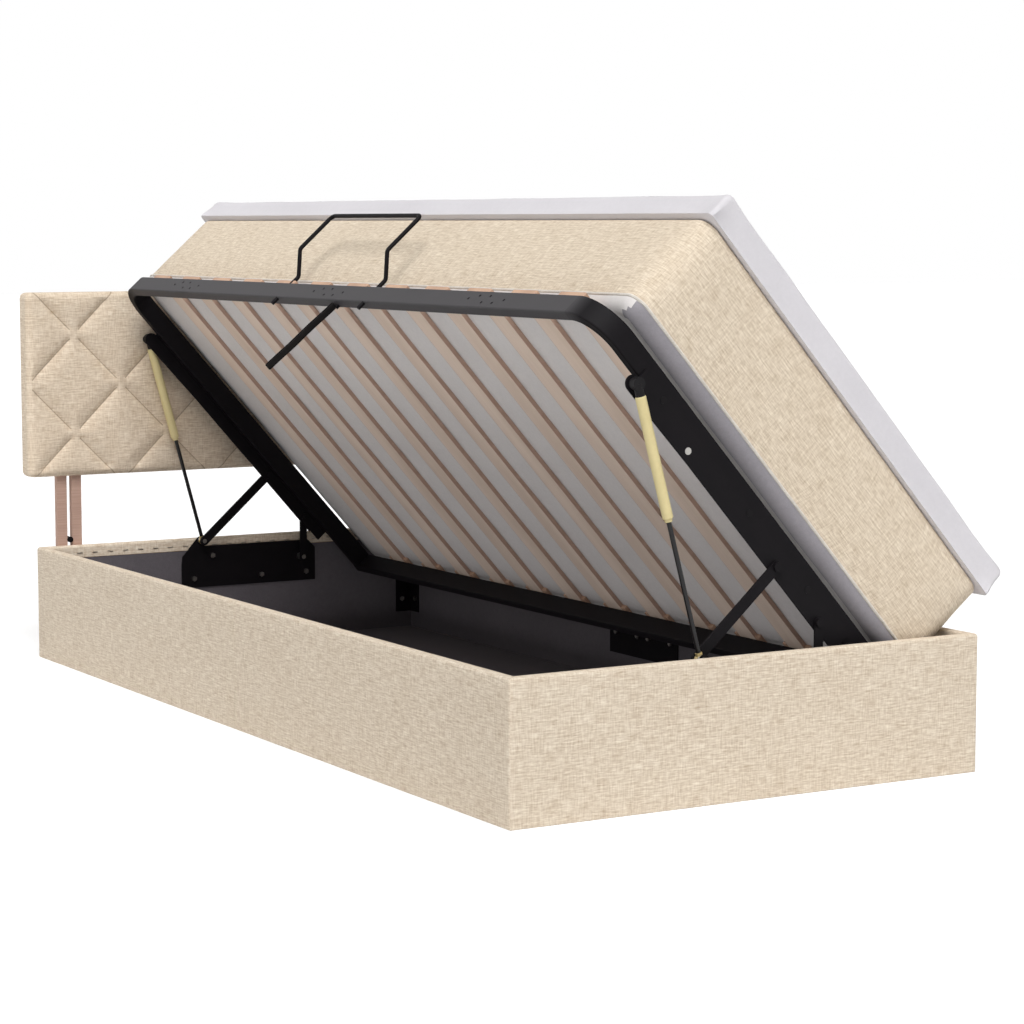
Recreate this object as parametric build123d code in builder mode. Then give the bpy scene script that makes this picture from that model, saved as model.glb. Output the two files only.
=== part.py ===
"""Side-opening storage bed with a gas-lifted slatted frame, a mattress and a quilted headboard.

Millimetres. X runs from the opening long side to the hinge side, Y from the foot to the head,
Z up. The origin is the middle of the box's footprint on the floor. The lid stands open.
"""
import os
from math import atan2, cos, degrees, hypot, radians, sin

from build123d import *

os.makedirs("parts", exist_ok=True)

# Box
box_length = 2030
box_width = 930
box_height = 240
cover_thickness = 2
board_thickness = 17
lining_thickness = 1
board_depth = cover_thickness + board_thickness
panel_thickness = board_depth + lining_thickness
flap_depth = 26
cover_lift = 3
rim_round = 6
board_round = 4
half_seam = 0.5
floor_thickness = 3
half_width = box_width / 2
half_length = box_length / 2
inner_width = half_width - panel_thickness
inner_length = half_length - panel_thickness

# Bolts of the box
bolt_radius = 3
bolt_head_radius = 6
bolt_head_height = 4
bolt_depth = 10
hole_clearance = 0.1

# Corner brackets and splice plates
bracket_leg = 40
bracket_thickness = 2.5
bracket_bottom = 40
bracket_height = 140
bracket_bolt_inset = 26
bracket_bolt_edge = 30
splice_length = 250
splice_height = 90
splice_bottom = 60
splice_bolt_near = 20
splice_bolt_far = 100

# Open lid: where its own frame stands, and its tilt
lid_tilt = 48.3
lid_x = -212.1
lid_z = 825.4
closed_rim_gap = 6
closed_front_gap = 6
closed_hinge_gap = 8

# Slatted frame, in the lid's frame (a = front to hinge side, n = up through the mattress)
tube_width = 20
tube_height = 40
tube_wall = 1.5
tube_round = 3
frame_front = -31
frame_back = frame_front + 2 * inner_width - closed_front_gap - closed_hinge_gap
closed_x = closed_front_gap - inner_width - frame_front
frame_end_gap = 29
frame_end = inner_length - frame_end_gap
rail_top = -36
closed_z = box_height - rail_top - closed_rim_gap
bend_radius = 80
rail_bottom = rail_top - tube_height
rail_middle = rail_top - tube_height / 2
mesh_hole_radius = 2.8
mesh_hole_pattern = ((-60, 0), (-30, -8), (-6, 8), (6, -8), (30, 8), (60, 0))
hole_cluster_places = (-610, -20, 630)

# Slats and their holders
slat_count = 12
first_slat_gap = 112
last_slat_gap = 164.5
slat_first = first_slat_gap - frame_end
slat_pitch = (2 * frame_end - first_slat_gap - last_slat_gap) / (slat_count - 1)
slat_width = 52
slat_thickness = 8
slat_start_gap = 13
slat_end_gap = 8
slat_start = frame_front + slat_start_gap
slat_end = frame_back - slat_end_gap
holder_start_gap = 2
holder_start = frame_front + holder_start_gap
holder_width = 78
holder_depth = 26
holder_gap = 0.2
slat_round = 2

# Lift plates, below the end rails
plate_thickness = 3
plate_lower = -103
plate_upper = -60
plate_end_low = 690
plate_end_high = 642
stud_a = 105
stud_drop = 92
plate_end_radius = 14
tab_start = 679
tab_end = 718
tab_low = -100
plate_bolt_places = ((165, -68), (259, -88), (420, -68), (600, -68))

# Lid linkage
arm_pivot_x = -88
arm_pivot_z = 235.5
arm_width = 19
arm_thickness = 5
link_width = 16
lid_pivot_a = 655
lid_pivot_drop = 90
linkage_gap = 1
pin_radius = 5
lid_pin_radius = 4
running_clearance = 0.05
head_radius = 8
head_height = 4
collar_radius = 7.5
eye_thickness = 8
eye_radius = 8
eye_wall_gap = 14
eye_middle = inner_length - eye_wall_gap
side_clearance = 0.3
base_plate_thickness = 3
ear_radius = 9
base_plate_low = 130
base_plate_front = -134
base_plate_back = 195
base_plate_shoulder = 222
base_plate_corner = 18
ear_slope_front = -132
ear_slope_low = 200
base_bolt_places = ((-105, 150), (-60, 200), (60, 150), (172, 150))

# Gas struts
strut_cylinder_radius = 9
strut_cylinder_length = 205
strut_top_space = 21
strut_rod_radius = 4
strut_rod_overlap = 4
strut_bore_radius = 4.05
cylinder_round = 2
gland_height = 5
gland_radius = 6.5
cylinder_end_wall = 4
eye_neck_length = 11
eye_neck_radius = 6
socket_radius = 7.5
knob_radius = 11
knob_half = 6.5
stud_flange_radius = 9
stud_flange = 1.5
stud_tip_radius = 5
stud_tip = 1.5

# Mattress
mattress_past_back = 15
mattress_past_end = 17
mattress_width = frame_back + mattress_past_back
mattress_half_length = frame_end + mattress_past_end
mattress_height = 183
mattress_drop = 28
mattress_corner = 30
mattress_wall = 12
mattress_edge_round = 6
belly_round = 27
piping_radius = 2.5
piping_height = 5

# Topper
topper_overhang = 12
topper_height = 56
topper_rim = 21
topper_skin = 9
topper_round = 20
topper_corner = 24

# Handle hoop and pull strap
hoop_radius = 4
hoop_centre = -5.5
hoop_half_span = 179.5
hoop_leg_a = -26.4
hoop_drop = 90
hoop_knee = -14
hoop_out_a = -64
hoop_shoulder = 24
hoop_top = 119
hoop_bend = 12
hoop_hole_radius = 4.3
strap_root_y = -67
strap_tip_y = -45
strap_middle_a = -21
strap_width = 14
strap_length = 172
strap_loop_width = 12
strap_thickness = 5
strap_gap = 2
strap_pin_radius = 1.5
strap_pin_drop = 2.9
strap_pin_inset = 2.5
clip_wall = 1.5
clip_side_gap = 1.5
clip_inner_half = strap_loop_width / 2 + clip_side_gap
clip_depth = 5

# Headboard
headboard_overhang = 19
headboard_half_width = half_width + headboard_overhang
headboard_low = 392
headboard_high = 790
headboard_over_box = 15
headboard_past_box = 30
headboard_front = half_length - headboard_over_box
headboard_back = half_length + headboard_past_box
headboard_corner = 16
headboard_edge_round = 10
pad_wall = 12
panel_board_thickness = 12
leg_inset = 96
leg_x = headboard_half_width - leg_inset
leg_width = 56
leg_thickness = 13.7
leg_low = 30
leg_high = 760
leg_round = 3
slot_width = 11
slot_low = 60
slot_high = 396
stop_bolt_z = 252
stop_bolt_radius = 4
stop_head_radius = 6.3
stop_head_height = 4
panel_bolt_heights = (130, 200)
panel_bolt_radius = 4
panel_bolt_head_radius = 10
quilt_columns = 9
quilt_rows = 2
quilt_mid_z = 592
quilt_depth = 7
quilt_half_groove = 11
quilt_break = 12
quilt_edge = 16

# Directions of the open lid
tilt = radians(lid_tilt)
along = Vector(cos(tilt), 0, -sin(tilt))
upward = Vector(sin(tilt), 0, cos(tilt))
lid_plane = Plane(origin=(lid_x, 0, lid_z), x_dir=along, z_dir=upward)
SIDES = {"foot": -1, "head": 1}
FROM_START = (Align.CENTER, Align.CENTER, Align.MIN)


def lid_point(a, y, n):
    """A place of the open lid in the bed's frame."""
    return Vector(lid_x, y, lid_z) + along * a + upward * n


def lid_end_plane(y):
    """A plane across the lid's length, drawn in (a, n), facing the foot."""
    return Plane(origin=lid_point(0, y, 0), x_dir=along, z_dir=(0, -1, 0))


def lid_front_plane(a):
    """A plane across the lid's width, drawn in (y, n), facing the hinge side."""
    return Plane(origin=lid_point(a, 0, 0), x_dir=(0, 1, 0), z_dir=along)


def outer_y(side, near, thickness):
    """The Y from which a layer of this end is extruded towards the foot."""
    return -near if side < 0 else near + thickness


# Linkage: the arm stands square to the open lid, and the link stands upright
open_arm_a = (arm_pivot_x - lid_x) * cos(tilt) - (arm_pivot_z - lid_z) * sin(tilt)
open_arm_n = (arm_pivot_x - lid_x) * sin(tilt) + (arm_pivot_z - lid_z) * cos(tilt)
closed_arm_x = closed_x + open_arm_a - arm_pivot_x
closed_arm_z = closed_z - arm_pivot_z
arm_tip_n = (open_arm_n ** 2 - closed_arm_x ** 2 - closed_arm_z ** 2) / (2 * (closed_arm_z + open_arm_n))
arm_length = arm_tip_n - open_arm_n
arm_tip = lid_point(open_arm_a, 0, arm_tip_n)
arm_tip_x = arm_tip.X
arm_tip_z = arm_tip.Z
lid_pivot = lid_point(lid_pivot_a, 0, -lid_pivot_drop)
lid_pivot_x = lid_pivot.X
lid_pivot_z = lid_pivot.Z
travel_x = lid_pivot_x - (closed_x + lid_pivot_a)
travel_z = lid_pivot_z - (closed_z - lid_pivot_drop)
link_length = (travel_x ** 2 + travel_z ** 2) / (2 * travel_z)
link_pivot_x = lid_pivot_x
link_pivot_z = lid_pivot_z - link_length

# Layers at each end, measured from the middle of the bed
arm_layer = frame_end + plate_thickness + linkage_gap
head_layer = arm_layer + arm_thickness + side_clearance
base_plate_layer = inner_length - base_plate_thickness
eye_layer = eye_middle - eye_thickness / 2

# Gas struts run from the arm's lower pivot to a stud near the front of the lift plate
stud_point = lid_point(stud_a, 0, -stud_drop)
strut_dx = stud_point.X - arm_pivot_x
strut_dz = stud_point.Z - arm_pivot_z
strut_length = hypot(strut_dx, strut_dz)
strut_angle = atan2(strut_dz, strut_dx)
cylinder_low = strut_length - strut_top_space - strut_cylinder_length


def save(piece, name):
    """Names a finished sub-part and writes it."""
    piece.part.label = name
    export_step(piece.part, "parts/" + name + ".step")


def side_outline(sx, sy, outer, inner):
    """Half of a long side seen from above, with a mitred end."""
    return [
        (sx * (half_width - outer), sy * (half_length - outer)),
        (sx * (half_width - outer), sy * half_seam),
        (sx * (half_width - inner), sy * half_seam),
        (sx * (half_width - inner), sy * (half_length - inner)),
    ]


def end_outline(sy, outer, inner):
    """An end panel seen from above, with mitred ends."""
    return [
        (-(half_width - outer), sy * (half_length - outer)),
        (half_width - outer, sy * (half_length - outer)),
        (half_width - inner, sy * (half_length - inner)),
        (-(half_width - inner), sy * (half_length - inner)),
    ]


def peg(x, y, z, direction, radius, back, forward):
    """A round bar through a place, reaching back and forward along a direction."""
    start = Vector(x, y, z) - Vector(*direction) * back
    plane = Plane(origin=start, z_dir=direction)
    return plane * Cylinder(radius, back + forward, align=FROM_START, mode=Mode.PRIVATE)


def bolt_spots():
    """Places and inward directions of every bolt of the box, on the inner faces."""
    spots = []
    low_bolt = bracket_bottom + bracket_bolt_edge
    high_bolt = bracket_bottom + bracket_height - bracket_bolt_edge
    beside_x = inner_width - bracket_bolt_inset
    beside_y = inner_length - bracket_bolt_inset
    for sx in (-1, 1):
        for sy in (-1, 1):
            for z in (low_bolt, high_bolt):
                spots.append((sx * inner_width, sy * beside_y, z, (-sx, 0, 0), bracket_thickness))
                spots.append((sx * beside_x, sy * inner_length, z, (0, -sy, 0), bracket_thickness))
        for y in (-splice_bolt_far, -splice_bolt_near, splice_bolt_near, splice_bolt_far):
            z = splice_bottom + splice_height / 2
            spots.append((sx * inner_width, y, z, (-sx, 0, 0), bracket_thickness))
    for sy in (-1, 1):
        for x, z in base_bolt_places:
            spots.append((x, sy * inner_length, z, (0, -sy, 0), base_plate_thickness))
    return spots


def bolt_holes(direction):
    """Holes for the bolts that point one way."""
    holes = []
    for x, y, z, inward, plate in bolt_spots():
        if inward == direction:
            holes.append(peg(x, y, z, inward, bolt_radius + hole_clearance, bolt_depth, plate))
    return holes


def leg_holes(depth):
    """Holes in the head end for the bolts that hold the headboard's legs."""
    holes = []
    radius = panel_bolt_radius + hole_clearance
    for sx in (-1, 1):
        for z in panel_bolt_heights:
            holes.append(peg(sx * leg_x, half_length, z, (0, -1, 0), radius, 0, depth))
    return holes


# Long sides: each is two boards that meet at mid-length
for side_name, sx in (("front", -1), ("hinge", 1)):
    for half_name, sy in SIDES.items():
        with BuildPart() as side_board:
            with BuildSketch(Plane.XY):
                Polygon(*side_outline(sx, sy, cover_thickness, board_depth), align=None)
            extrude(amount=box_height - cover_thickness)
            top = side_board.faces().sort_by(Axis.Z)[-1]
            fillet(top.edges().filter_by(Axis.Y), board_round)
            for hole in bolt_holes((-sx, 0, 0)):
                add(hole, mode=Mode.SUBTRACT)
        save(side_board, "board_" + side_name + "_" + half_name)

# End boards
for half_name, sy in SIDES.items():
    with BuildPart() as end_board:
        with BuildSketch(Plane.XY):
            Polygon(*end_outline(sy, cover_thickness, board_depth), align=None)
        extrude(amount=box_height - cover_thickness)
        top = end_board.faces().sort_by(Axis.Z)[-1]
        fillet(top.edges().filter_by(Axis.X), board_round)
        for hole in bolt_holes((0, -sy, 0)):
            add(hole, mode=Mode.SUBTRACT)
        if sy > 0:
            for hole in leg_holes(bolt_depth):
                add(hole, mode=Mode.SUBTRACT)
    save(end_board, "board_" + half_name)


def cover_of(outline, edge_axis):
    """Fabric over the outside of a board, over its rim and a little way down inside."""
    with BuildPart() as cover:
        with BuildSketch(Plane.XY.offset(cover_lift)):
            Polygon(*outline(0, panel_thickness), align=None)
        extrude(amount=box_height - cover_lift)
        top = cover.faces().sort_by(Axis.Z)[-1]
        fillet(top.edges().filter_by(edge_axis), rim_round)
        with BuildSketch(Plane.XY):
            Polygon(*outline(cover_thickness, board_depth), align=None)
        extrude(amount=box_height - cover_thickness, mode=Mode.SUBTRACT)
        with BuildSketch(Plane.XY):
            Polygon(*outline(board_depth, panel_thickness), align=None)
        extrude(amount=box_height - flap_depth, mode=Mode.SUBTRACT)
    return cover


for side_name, sx in (("front", -1), ("hinge", 1)):
    for half_name, sy in SIDES.items():
        side_cover = cover_of(lambda outer, inner: side_outline(sx, sy, outer, inner), Axis.Y)
        save(side_cover, "cover_" + side_name + "_" + half_name)

foot_cover = cover_of(lambda outer, inner: end_outline(-1, outer, inner), Axis.X)
save(foot_cover, "cover_foot")

with BuildPart() as head_cover:
    add(cover_of(lambda outer, inner: end_outline(1, outer, inner), Axis.X).part)
    for hole in leg_holes(cover_thickness):
        add(hole, mode=Mode.SUBTRACT)
save(head_cover, "cover_head")

# Floor of the box between the boards, and the dark cloth laid on it
floor_width = 2 * (inner_width + lining_thickness)
floor_length = 2 * (inner_length + lining_thickness)
with BuildPart() as floor_panel:
    with BuildSketch(Plane.XY):
        Rectangle(floor_width, floor_length)
    extrude(amount=floor_thickness)
save(floor_panel, "floor_panel")

with BuildPart() as liner_floor:
    with BuildSketch(Plane.XY.offset(floor_thickness)):
        Rectangle(floor_width, floor_length)
    extrude(amount=lining_thickness)
save(liner_floor, "liner_floor")

# Thin lining of the four inner walls, up to the folded edge of the cover
lining_low = floor_thickness + lining_thickness
lining_high = box_height - flap_depth - lining_thickness
with BuildPart() as wall_lining:
    with BuildSketch(Plane.XY.offset(lining_low)):
        Rectangle(floor_width, floor_length)
        Rectangle(2 * inner_width, 2 * inner_length, mode=Mode.SUBTRACT)
    extrude(amount=lining_high - lining_low)
    for direction in ((1, 0, 0), (-1, 0, 0), (0, 1, 0), (0, -1, 0)):
        for hole in bolt_holes(direction):
            add(hole, mode=Mode.SUBTRACT)
save(wall_lining, "wall_lining")

# Corner brackets, one in each inner corner
with BuildPart() as corner_brackets:
    for sx in (-1, 1):
        for sy in (-1, 1):
            with BuildSketch(Plane.XY.offset(bracket_bottom)):
                Polygon(
                    (sx * inner_width, sy * inner_length),
                    (sx * (inner_width - bracket_leg), sy * inner_length),
                    (sx * (inner_width - bracket_leg), sy * (inner_length - bracket_thickness)),
                    (sx * (inner_width - bracket_thickness), sy * (inner_length - bracket_thickness)),
                    (sx * (inner_width - bracket_thickness), sy * (inner_length - bracket_leg)),
                    (sx * inner_width, sy * (inner_length - bracket_leg)),
                    align=None,
                )
            extrude(amount=bracket_height)
    for direction in ((1, 0, 0), (-1, 0, 0), (0, 1, 0), (0, -1, 0)):
        for hole in bolt_holes(direction):
            add(hole, mode=Mode.SUBTRACT)
save(corner_brackets, "corner_brackets")

# Plates that join the two halves of each long side
with BuildPart() as splice_plates:
    for sx in (-1, 1):
        with BuildSketch(Plane.XY.offset(splice_bottom)):
            with Locations((sx * (inner_width - bracket_thickness / 2), 0)):
                Rectangle(bracket_thickness, splice_length)
        extrude(amount=splice_height)
    for direction in ((1, 0, 0), (-1, 0, 0)):
        for hole in bolt_holes(direction):
            add(hole, mode=Mode.SUBTRACT)
save(splice_plates, "splice_plates")

# Bolts of the box
with BuildPart() as box_bolts:
    for x, y, z, inward, plate in bolt_spots():
        add(peg(x, y, z, inward, bolt_radius, bolt_depth - hole_clearance, plate))
        head_start = Vector(x, y, z) + Vector(*inward) * plate
        with BuildSketch(Plane(origin=head_start, z_dir=inward)):
            RegularPolygon(bolt_head_radius, 6)
        extrude(amount=bolt_head_height)
save(box_bolts, "box_bolts")

# Steel plates inside the foot and head ends, which carry the linkage
for half_name, sy in SIDES.items():
    with BuildPart() as base_plate:
        with BuildSketch(Plane.XZ.offset(-outer_y(sy, base_plate_layer, base_plate_thickness))):
            Polygon(
                (base_plate_front, base_plate_low),
                (base_plate_back, base_plate_low),
                (base_plate_back, base_plate_shoulder - base_plate_corner),
                (base_plate_back - base_plate_corner, base_plate_shoulder),
                (arm_pivot_x + ear_radius, base_plate_shoulder),
                (arm_pivot_x + ear_radius, arm_pivot_z),
                (arm_pivot_x - ear_radius * sin(tilt), arm_pivot_z + ear_radius * cos(tilt)),
                (ear_slope_front, ear_slope_low),
                (base_plate_front, ear_slope_low - base_plate_corner),
                align=None,
            )
            with Locations((arm_pivot_x, arm_pivot_z)):
                Circle(ear_radius)
        extrude(amount=base_plate_thickness)
        for hole in bolt_holes((0, -sy, 0)):
            add(hole, mode=Mode.SUBTRACT)
    save(base_plate, "base_plate_" + half_name)

# Fixed pins of the linkage, with collars that keep the moving layers apart
with BuildPart() as pivot_pins:
    for sy in SIDES.values():
        for x, z, has_eye in ((arm_pivot_x, arm_pivot_z, True), (link_pivot_x, link_pivot_z, False)):
            reach = base_plate_layer - arm_layer
            add(peg(x, sy * base_plate_layer, z, (0, -sy, 0), pin_radius, 0, reach))
            collar_end = eye_layer + eye_thickness + side_clearance if has_eye else head_layer
            thick = base_plate_layer - collar_end
            add(peg(x, sy * base_plate_layer, z, (0, -sy, 0), collar_radius, 0, thick))
            if has_eye:
                thin = eye_layer - side_clearance - head_layer
                add(peg(x, sy * (eye_layer - side_clearance), z, (0, -sy, 0), collar_radius, 0, thin))
save(pivot_pins, "pivot_pins")


def flat_bar(sy, x1, z1, x2, z2, width, boss_at_tip):
    """A flat bar with round ends between two pivots; a closed rivet head marks an open pivot."""
    length = hypot(x2 - x1, z2 - z1)
    turn = degrees(atan2(z2 - z1, x2 - x1))
    near = sy * arm_layer
    overrun = 2 * arm_thickness
    with BuildPart() as bar:
        with BuildSketch(Plane.XZ.offset(-outer_y(sy, arm_layer, arm_thickness))):
            with Locations(Location(((x1 + x2) / 2, (z1 + z2) / 2), turn)):
                SlotCenterToCenter(length, width)
        extrude(amount=arm_thickness)
        low_hole = pin_radius + running_clearance
        add(peg(x1, near, z1, (0, sy, 0), low_hole, arm_thickness, overrun), mode=Mode.SUBTRACT)
        if boss_at_tip:
            far = sy * (arm_layer + arm_thickness)
            add(peg(x2, far, z2, (0, sy, 0), head_radius, 0, head_height))
        else:
            tip_hole = lid_pin_radius + running_clearance
            add(peg(x2, near, z2, (0, sy, 0), tip_hole, arm_thickness, overrun), mode=Mode.SUBTRACT)
    return bar


for half_name, sy in SIDES.items():
    long_arm = flat_bar(sy, arm_pivot_x, arm_pivot_z, arm_tip_x, arm_tip_z, arm_width, True)
    save(long_arm, "long_arm_" + half_name)
    short_link = flat_bar(sy, link_pivot_x, link_pivot_z, lid_pivot_x, lid_pivot_z, link_width, sy > 0)
    save(short_link, "short_link_" + half_name)


def strut_place(distance, y):
    """A place on a strut's axis at a distance from its lower eye."""
    return Vector(arm_pivot_x + distance * cos(strut_angle), y, arm_pivot_z + distance * sin(strut_angle))


def strut_bar(sy, start, length, radius):
    """A round bar along a strut's axis."""
    direction = (cos(strut_angle), 0, sin(strut_angle))
    plane = Plane(origin=strut_place(start, sy * eye_middle), z_dir=direction)
    return plane * Cylinder(radius, length, align=FROM_START, mode=Mode.PRIVATE)


# Gas struts: rod and eye at the bottom, cylinder and socket at the top
for half_name, sy in SIDES.items():
    rod_top = cylinder_low + strut_rod_overlap
    with BuildPart() as strut_rod:
        add(strut_bar(sy, eye_neck_length, rod_top - eye_neck_length, strut_rod_radius))
    save(strut_rod, "strut_rod_" + half_name)

    with BuildPart() as strut_eye:
        add(peg(arm_pivot_x, sy * eye_layer, arm_pivot_z, (0, sy, 0), eye_radius, 0, eye_thickness))
        add(strut_bar(sy, 0, eye_neck_length, eye_neck_radius - 2 * running_clearance))
        with BuildSketch(Plane.XZ.offset(-outer_y(sy, eye_layer, eye_thickness))):
            with Locations((arm_pivot_x, arm_pivot_z)):
                Circle(pin_radius + running_clearance)
        extrude(amount=eye_thickness, mode=Mode.SUBTRACT)
        for layer, depth in ((eye_layer - eye_radius, eye_radius), (eye_layer + eye_thickness, eye_radius)):
            trim = peg(arm_pivot_x, sy * layer, arm_pivot_z, (0, sy, 0), 2 * eye_neck_length, 0, depth)
            add(trim, mode=Mode.SUBTRACT)
    save(strut_eye, "strut_eye_" + half_name)

    with BuildPart() as strut_cylinder:
        add(strut_bar(sy, cylinder_low, strut_cylinder_length, strut_cylinder_radius))
        fillet(strut_cylinder.edges().filter_by(GeomType.CIRCLE), cylinder_round)
        add(strut_bar(sy, cylinder_low - gland_height, gland_height, gland_radius))
        bore_length = gland_height + strut_cylinder_length - cylinder_end_wall
        add(strut_bar(sy, cylinder_low - gland_height, bore_length, strut_bore_radius), mode=Mode.SUBTRACT)
    save(strut_cylinder, "strut_cylinder_" + half_name)

    with BuildPart() as strut_socket:
        add(strut_bar(sy, strut_length - strut_top_space, strut_top_space, socket_radius))
        knob = strut_place(strut_length, sy * (eye_middle - knob_half))
        add(peg(knob.X, knob.Y, knob.Z, (0, sy, 0), knob_radius, 0, 2 * knob_half))
    save(strut_socket, "strut_socket_" + half_name)


def tube_outline(x, y, width, height):
    """The section of a thin-walled steel tube."""
    with Locations((x, y)):
        RectangleRounded(width, height, tube_round)
        inner_round = tube_round - tube_wall
        RectangleRounded(
            width - 2 * tube_wall, height - 2 * tube_wall, inner_round, mode=Mode.SUBTRACT
        )


# Front rail, with its handle holes and clusters of small holes
straight_half = frame_end - bend_radius
front_middle = frame_front + tube_width / 2
with BuildPart() as front_rail:
    with BuildSketch(lid_end_plane(straight_half)):
        tube_outline(front_middle, rail_middle, tube_width, tube_height)
    extrude(amount=2 * straight_half)
    with BuildSketch(lid_plane.offset(rail_bottom - tube_wall)):
        with Locations((hoop_leg_a, hoop_centre)):
            with GridLocations(2 * hoop_half_span, 2 * hoop_half_span, 1, 2):
                Circle(hoop_hole_radius)
    extrude(amount=tube_height + 2 * tube_wall, mode=Mode.SUBTRACT)
    with BuildSketch(lid_front_plane(frame_front - tube_wall)):
        for place in hole_cluster_places:
            with Locations((place, rail_middle)):
                with Locations(*mesh_hole_pattern):
                    Circle(mesh_hole_radius)
    extrude(amount=3 * tube_wall, mode=Mode.SUBTRACT)
save(front_rail, "front_rail")

# Bent corners, end rails and hinge-side rail
end_middle = frame_end - tube_width / 2
bend_end_a = frame_front + bend_radius
back_start = frame_back - tube_width
for half_name, sy in SIDES.items():
    with BuildPart() as corner_elbow:
        with BuildSketch(lid_end_plane(sy * straight_half)):
            tube_outline(front_middle, rail_middle, tube_width, tube_height)
        bend_axis = Axis(origin=lid_point(bend_end_a, sy * straight_half, 0), direction=upward * -sy)
        revolve(axis=bend_axis, revolution_arc=90)
    save(corner_elbow, "corner_elbow_" + half_name)

    with BuildPart() as end_rail:
        with BuildSketch(lid_front_plane(bend_end_a)):
            tube_outline(sy * end_middle, rail_middle, tube_width, tube_height)
        extrude(amount=back_start - bend_end_a)
    save(end_rail, "end_rail_" + half_name)

with BuildPart() as hinge_rail:
    with BuildSketch(lid_end_plane(frame_end)):
        tube_outline(frame_back - tube_width / 2, rail_middle, tube_width, tube_height)
    extrude(amount=2 * frame_end)
save(hinge_rail, "hinge_rail")

# Slats, in two groups of six, and the blocks that hold their ends, cut clear of the hoop
slat_places = [slat_first + slat_pitch * number for number in range(slat_count)]
slat_middle = (slat_start + slat_end) / 2
groups = (("slats_foot", slat_places[: slat_count // 2]), ("slats_head", slat_places[slat_count // 2:]))
for name, places in groups:
    with BuildPart() as slats:
        with BuildSketch(lid_plane.offset(rail_top)):
            with Locations(*[(slat_middle, y) for y in places]):
                RectangleRounded(slat_end - slat_start, slat_width, slat_round)
        extrude(amount=slat_thickness)
    save(slats, name)

with BuildPart() as slat_holders:
    front_block = holder_start + holder_depth / 2
    back_block = frame_back - holder_depth / 2
    pocket_length = slat_end - slat_start + 2 * holder_gap
    pocket_width = slat_width + 2 * holder_gap
    with BuildSketch(lid_plane.offset(rail_top)):
        for y in slat_places:
            with Locations((front_block, y), (back_block, y)):
                RectangleRounded(holder_depth, holder_width, slat_round)
        for y in slat_places:
            with Locations((slat_middle, y)):
                RectangleRounded(pocket_length, pocket_width, slat_round, mode=Mode.SUBTRACT)
        with Locations((hoop_leg_a, hoop_centre)):
            with GridLocations(2 * hoop_half_span, 2 * hoop_half_span, 1, 2):
                Circle(hoop_hole_radius, mode=Mode.SUBTRACT)
    extrude(amount=slat_thickness)
save(slat_holders, "slat_holders")

# Lift plates on the outer faces of the end rails, with a small hanging tab
for half_name, sy in SIDES.items():
    with BuildPart() as lift_plate:
        with BuildSketch(lid_end_plane(outer_y(sy, frame_end, plate_thickness))):
            Polygon(
                (stud_a, plate_upper),
                (stud_a, -stud_drop - plate_end_radius),
                (stud_a + plate_end_radius, -stud_drop - plate_end_radius),
                (open_arm_a / 2 + plate_end_radius, plate_lower),
                (plate_end_low, plate_lower),
                (plate_end_high, plate_upper),
                align=None,
            )
            with Locations((stud_a, -stud_drop)):
                Circle(plate_end_radius)
            Polygon(
                (plate_end_high, plate_upper),
                (tab_end, plate_upper),
                (tab_end, tab_low),
                (tab_start, tab_low),
                align=None,
            )
        extrude(amount=plate_thickness)
        if sy < 0:
            place = Vector(lid_pivot_x, sy * frame_end, lid_pivot_z)
            overrun = 2 * plate_thickness
            hole = peg(place.X, place.Y, place.Z, (0, sy, 0), lid_pin_radius, plate_thickness, overrun)
            add(hole, mode=Mode.SUBTRACT)
    save(lift_plate, "lift_plate_" + half_name)

# Button heads on the lift plates, and the rivet of the pull strap
with BuildPart() as lid_bolts:
    for sy in SIDES.values():
        for a, n in plate_bolt_places:
            place = lid_point(a, sy * (frame_end + plate_thickness), n)
            head = linkage_gap - side_clearance
            add(peg(place.X, place.Y, place.Z, (0, sy, 0), bolt_head_radius, 0, head))
save(lid_bolts, "lid_bolts")

# Lid pivots: one through pin at the foot, closed rivet heads at the open pivots
with BuildPart() as lid_pivot_pins:
    inner_layer = frame_end - head_height
    add(peg(lid_pivot_x, -frame_end, lid_pivot_z, (0, 1, 0), head_radius, 0, head_height))
    reach = head_layer - frame_end + side_clearance
    add(peg(lid_pivot_x, -frame_end, lid_pivot_z, (0, -1, 0), lid_pin_radius, 0, reach))
    add(peg(lid_pivot_x, -head_layer, lid_pivot_z, (0, -1, 0), head_radius, 0, head_height))
    add(peg(lid_pivot_x, inner_layer, lid_pivot_z, (0, 1, 0), head_radius, 0, head_height))
    for sy in SIDES.values():
        add(peg(arm_tip_x, sy * inner_layer, arm_tip_z, (0, sy, 0), head_radius, 0, head_height))
save(lid_pivot_pins, "lid_pivot_pins")

# Studs at the top of the gas struts
with BuildPart() as strut_studs:
    stud_x = stud_point.X
    stud_z = stud_point.Z
    for sy in SIDES.values():
        outer_face = sy * (frame_end + plate_thickness)
        flange_face = sy * (frame_end + plate_thickness + stud_flange)
        add(peg(stud_x, outer_face, stud_z, (0, sy, 0), stud_flange_radius, 0, stud_flange))
        add(peg(stud_x, flange_face, stud_z, (0, sy, 0), stud_tip_radius, 0, stud_tip))
save(strut_studs, "strut_studs")

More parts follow.
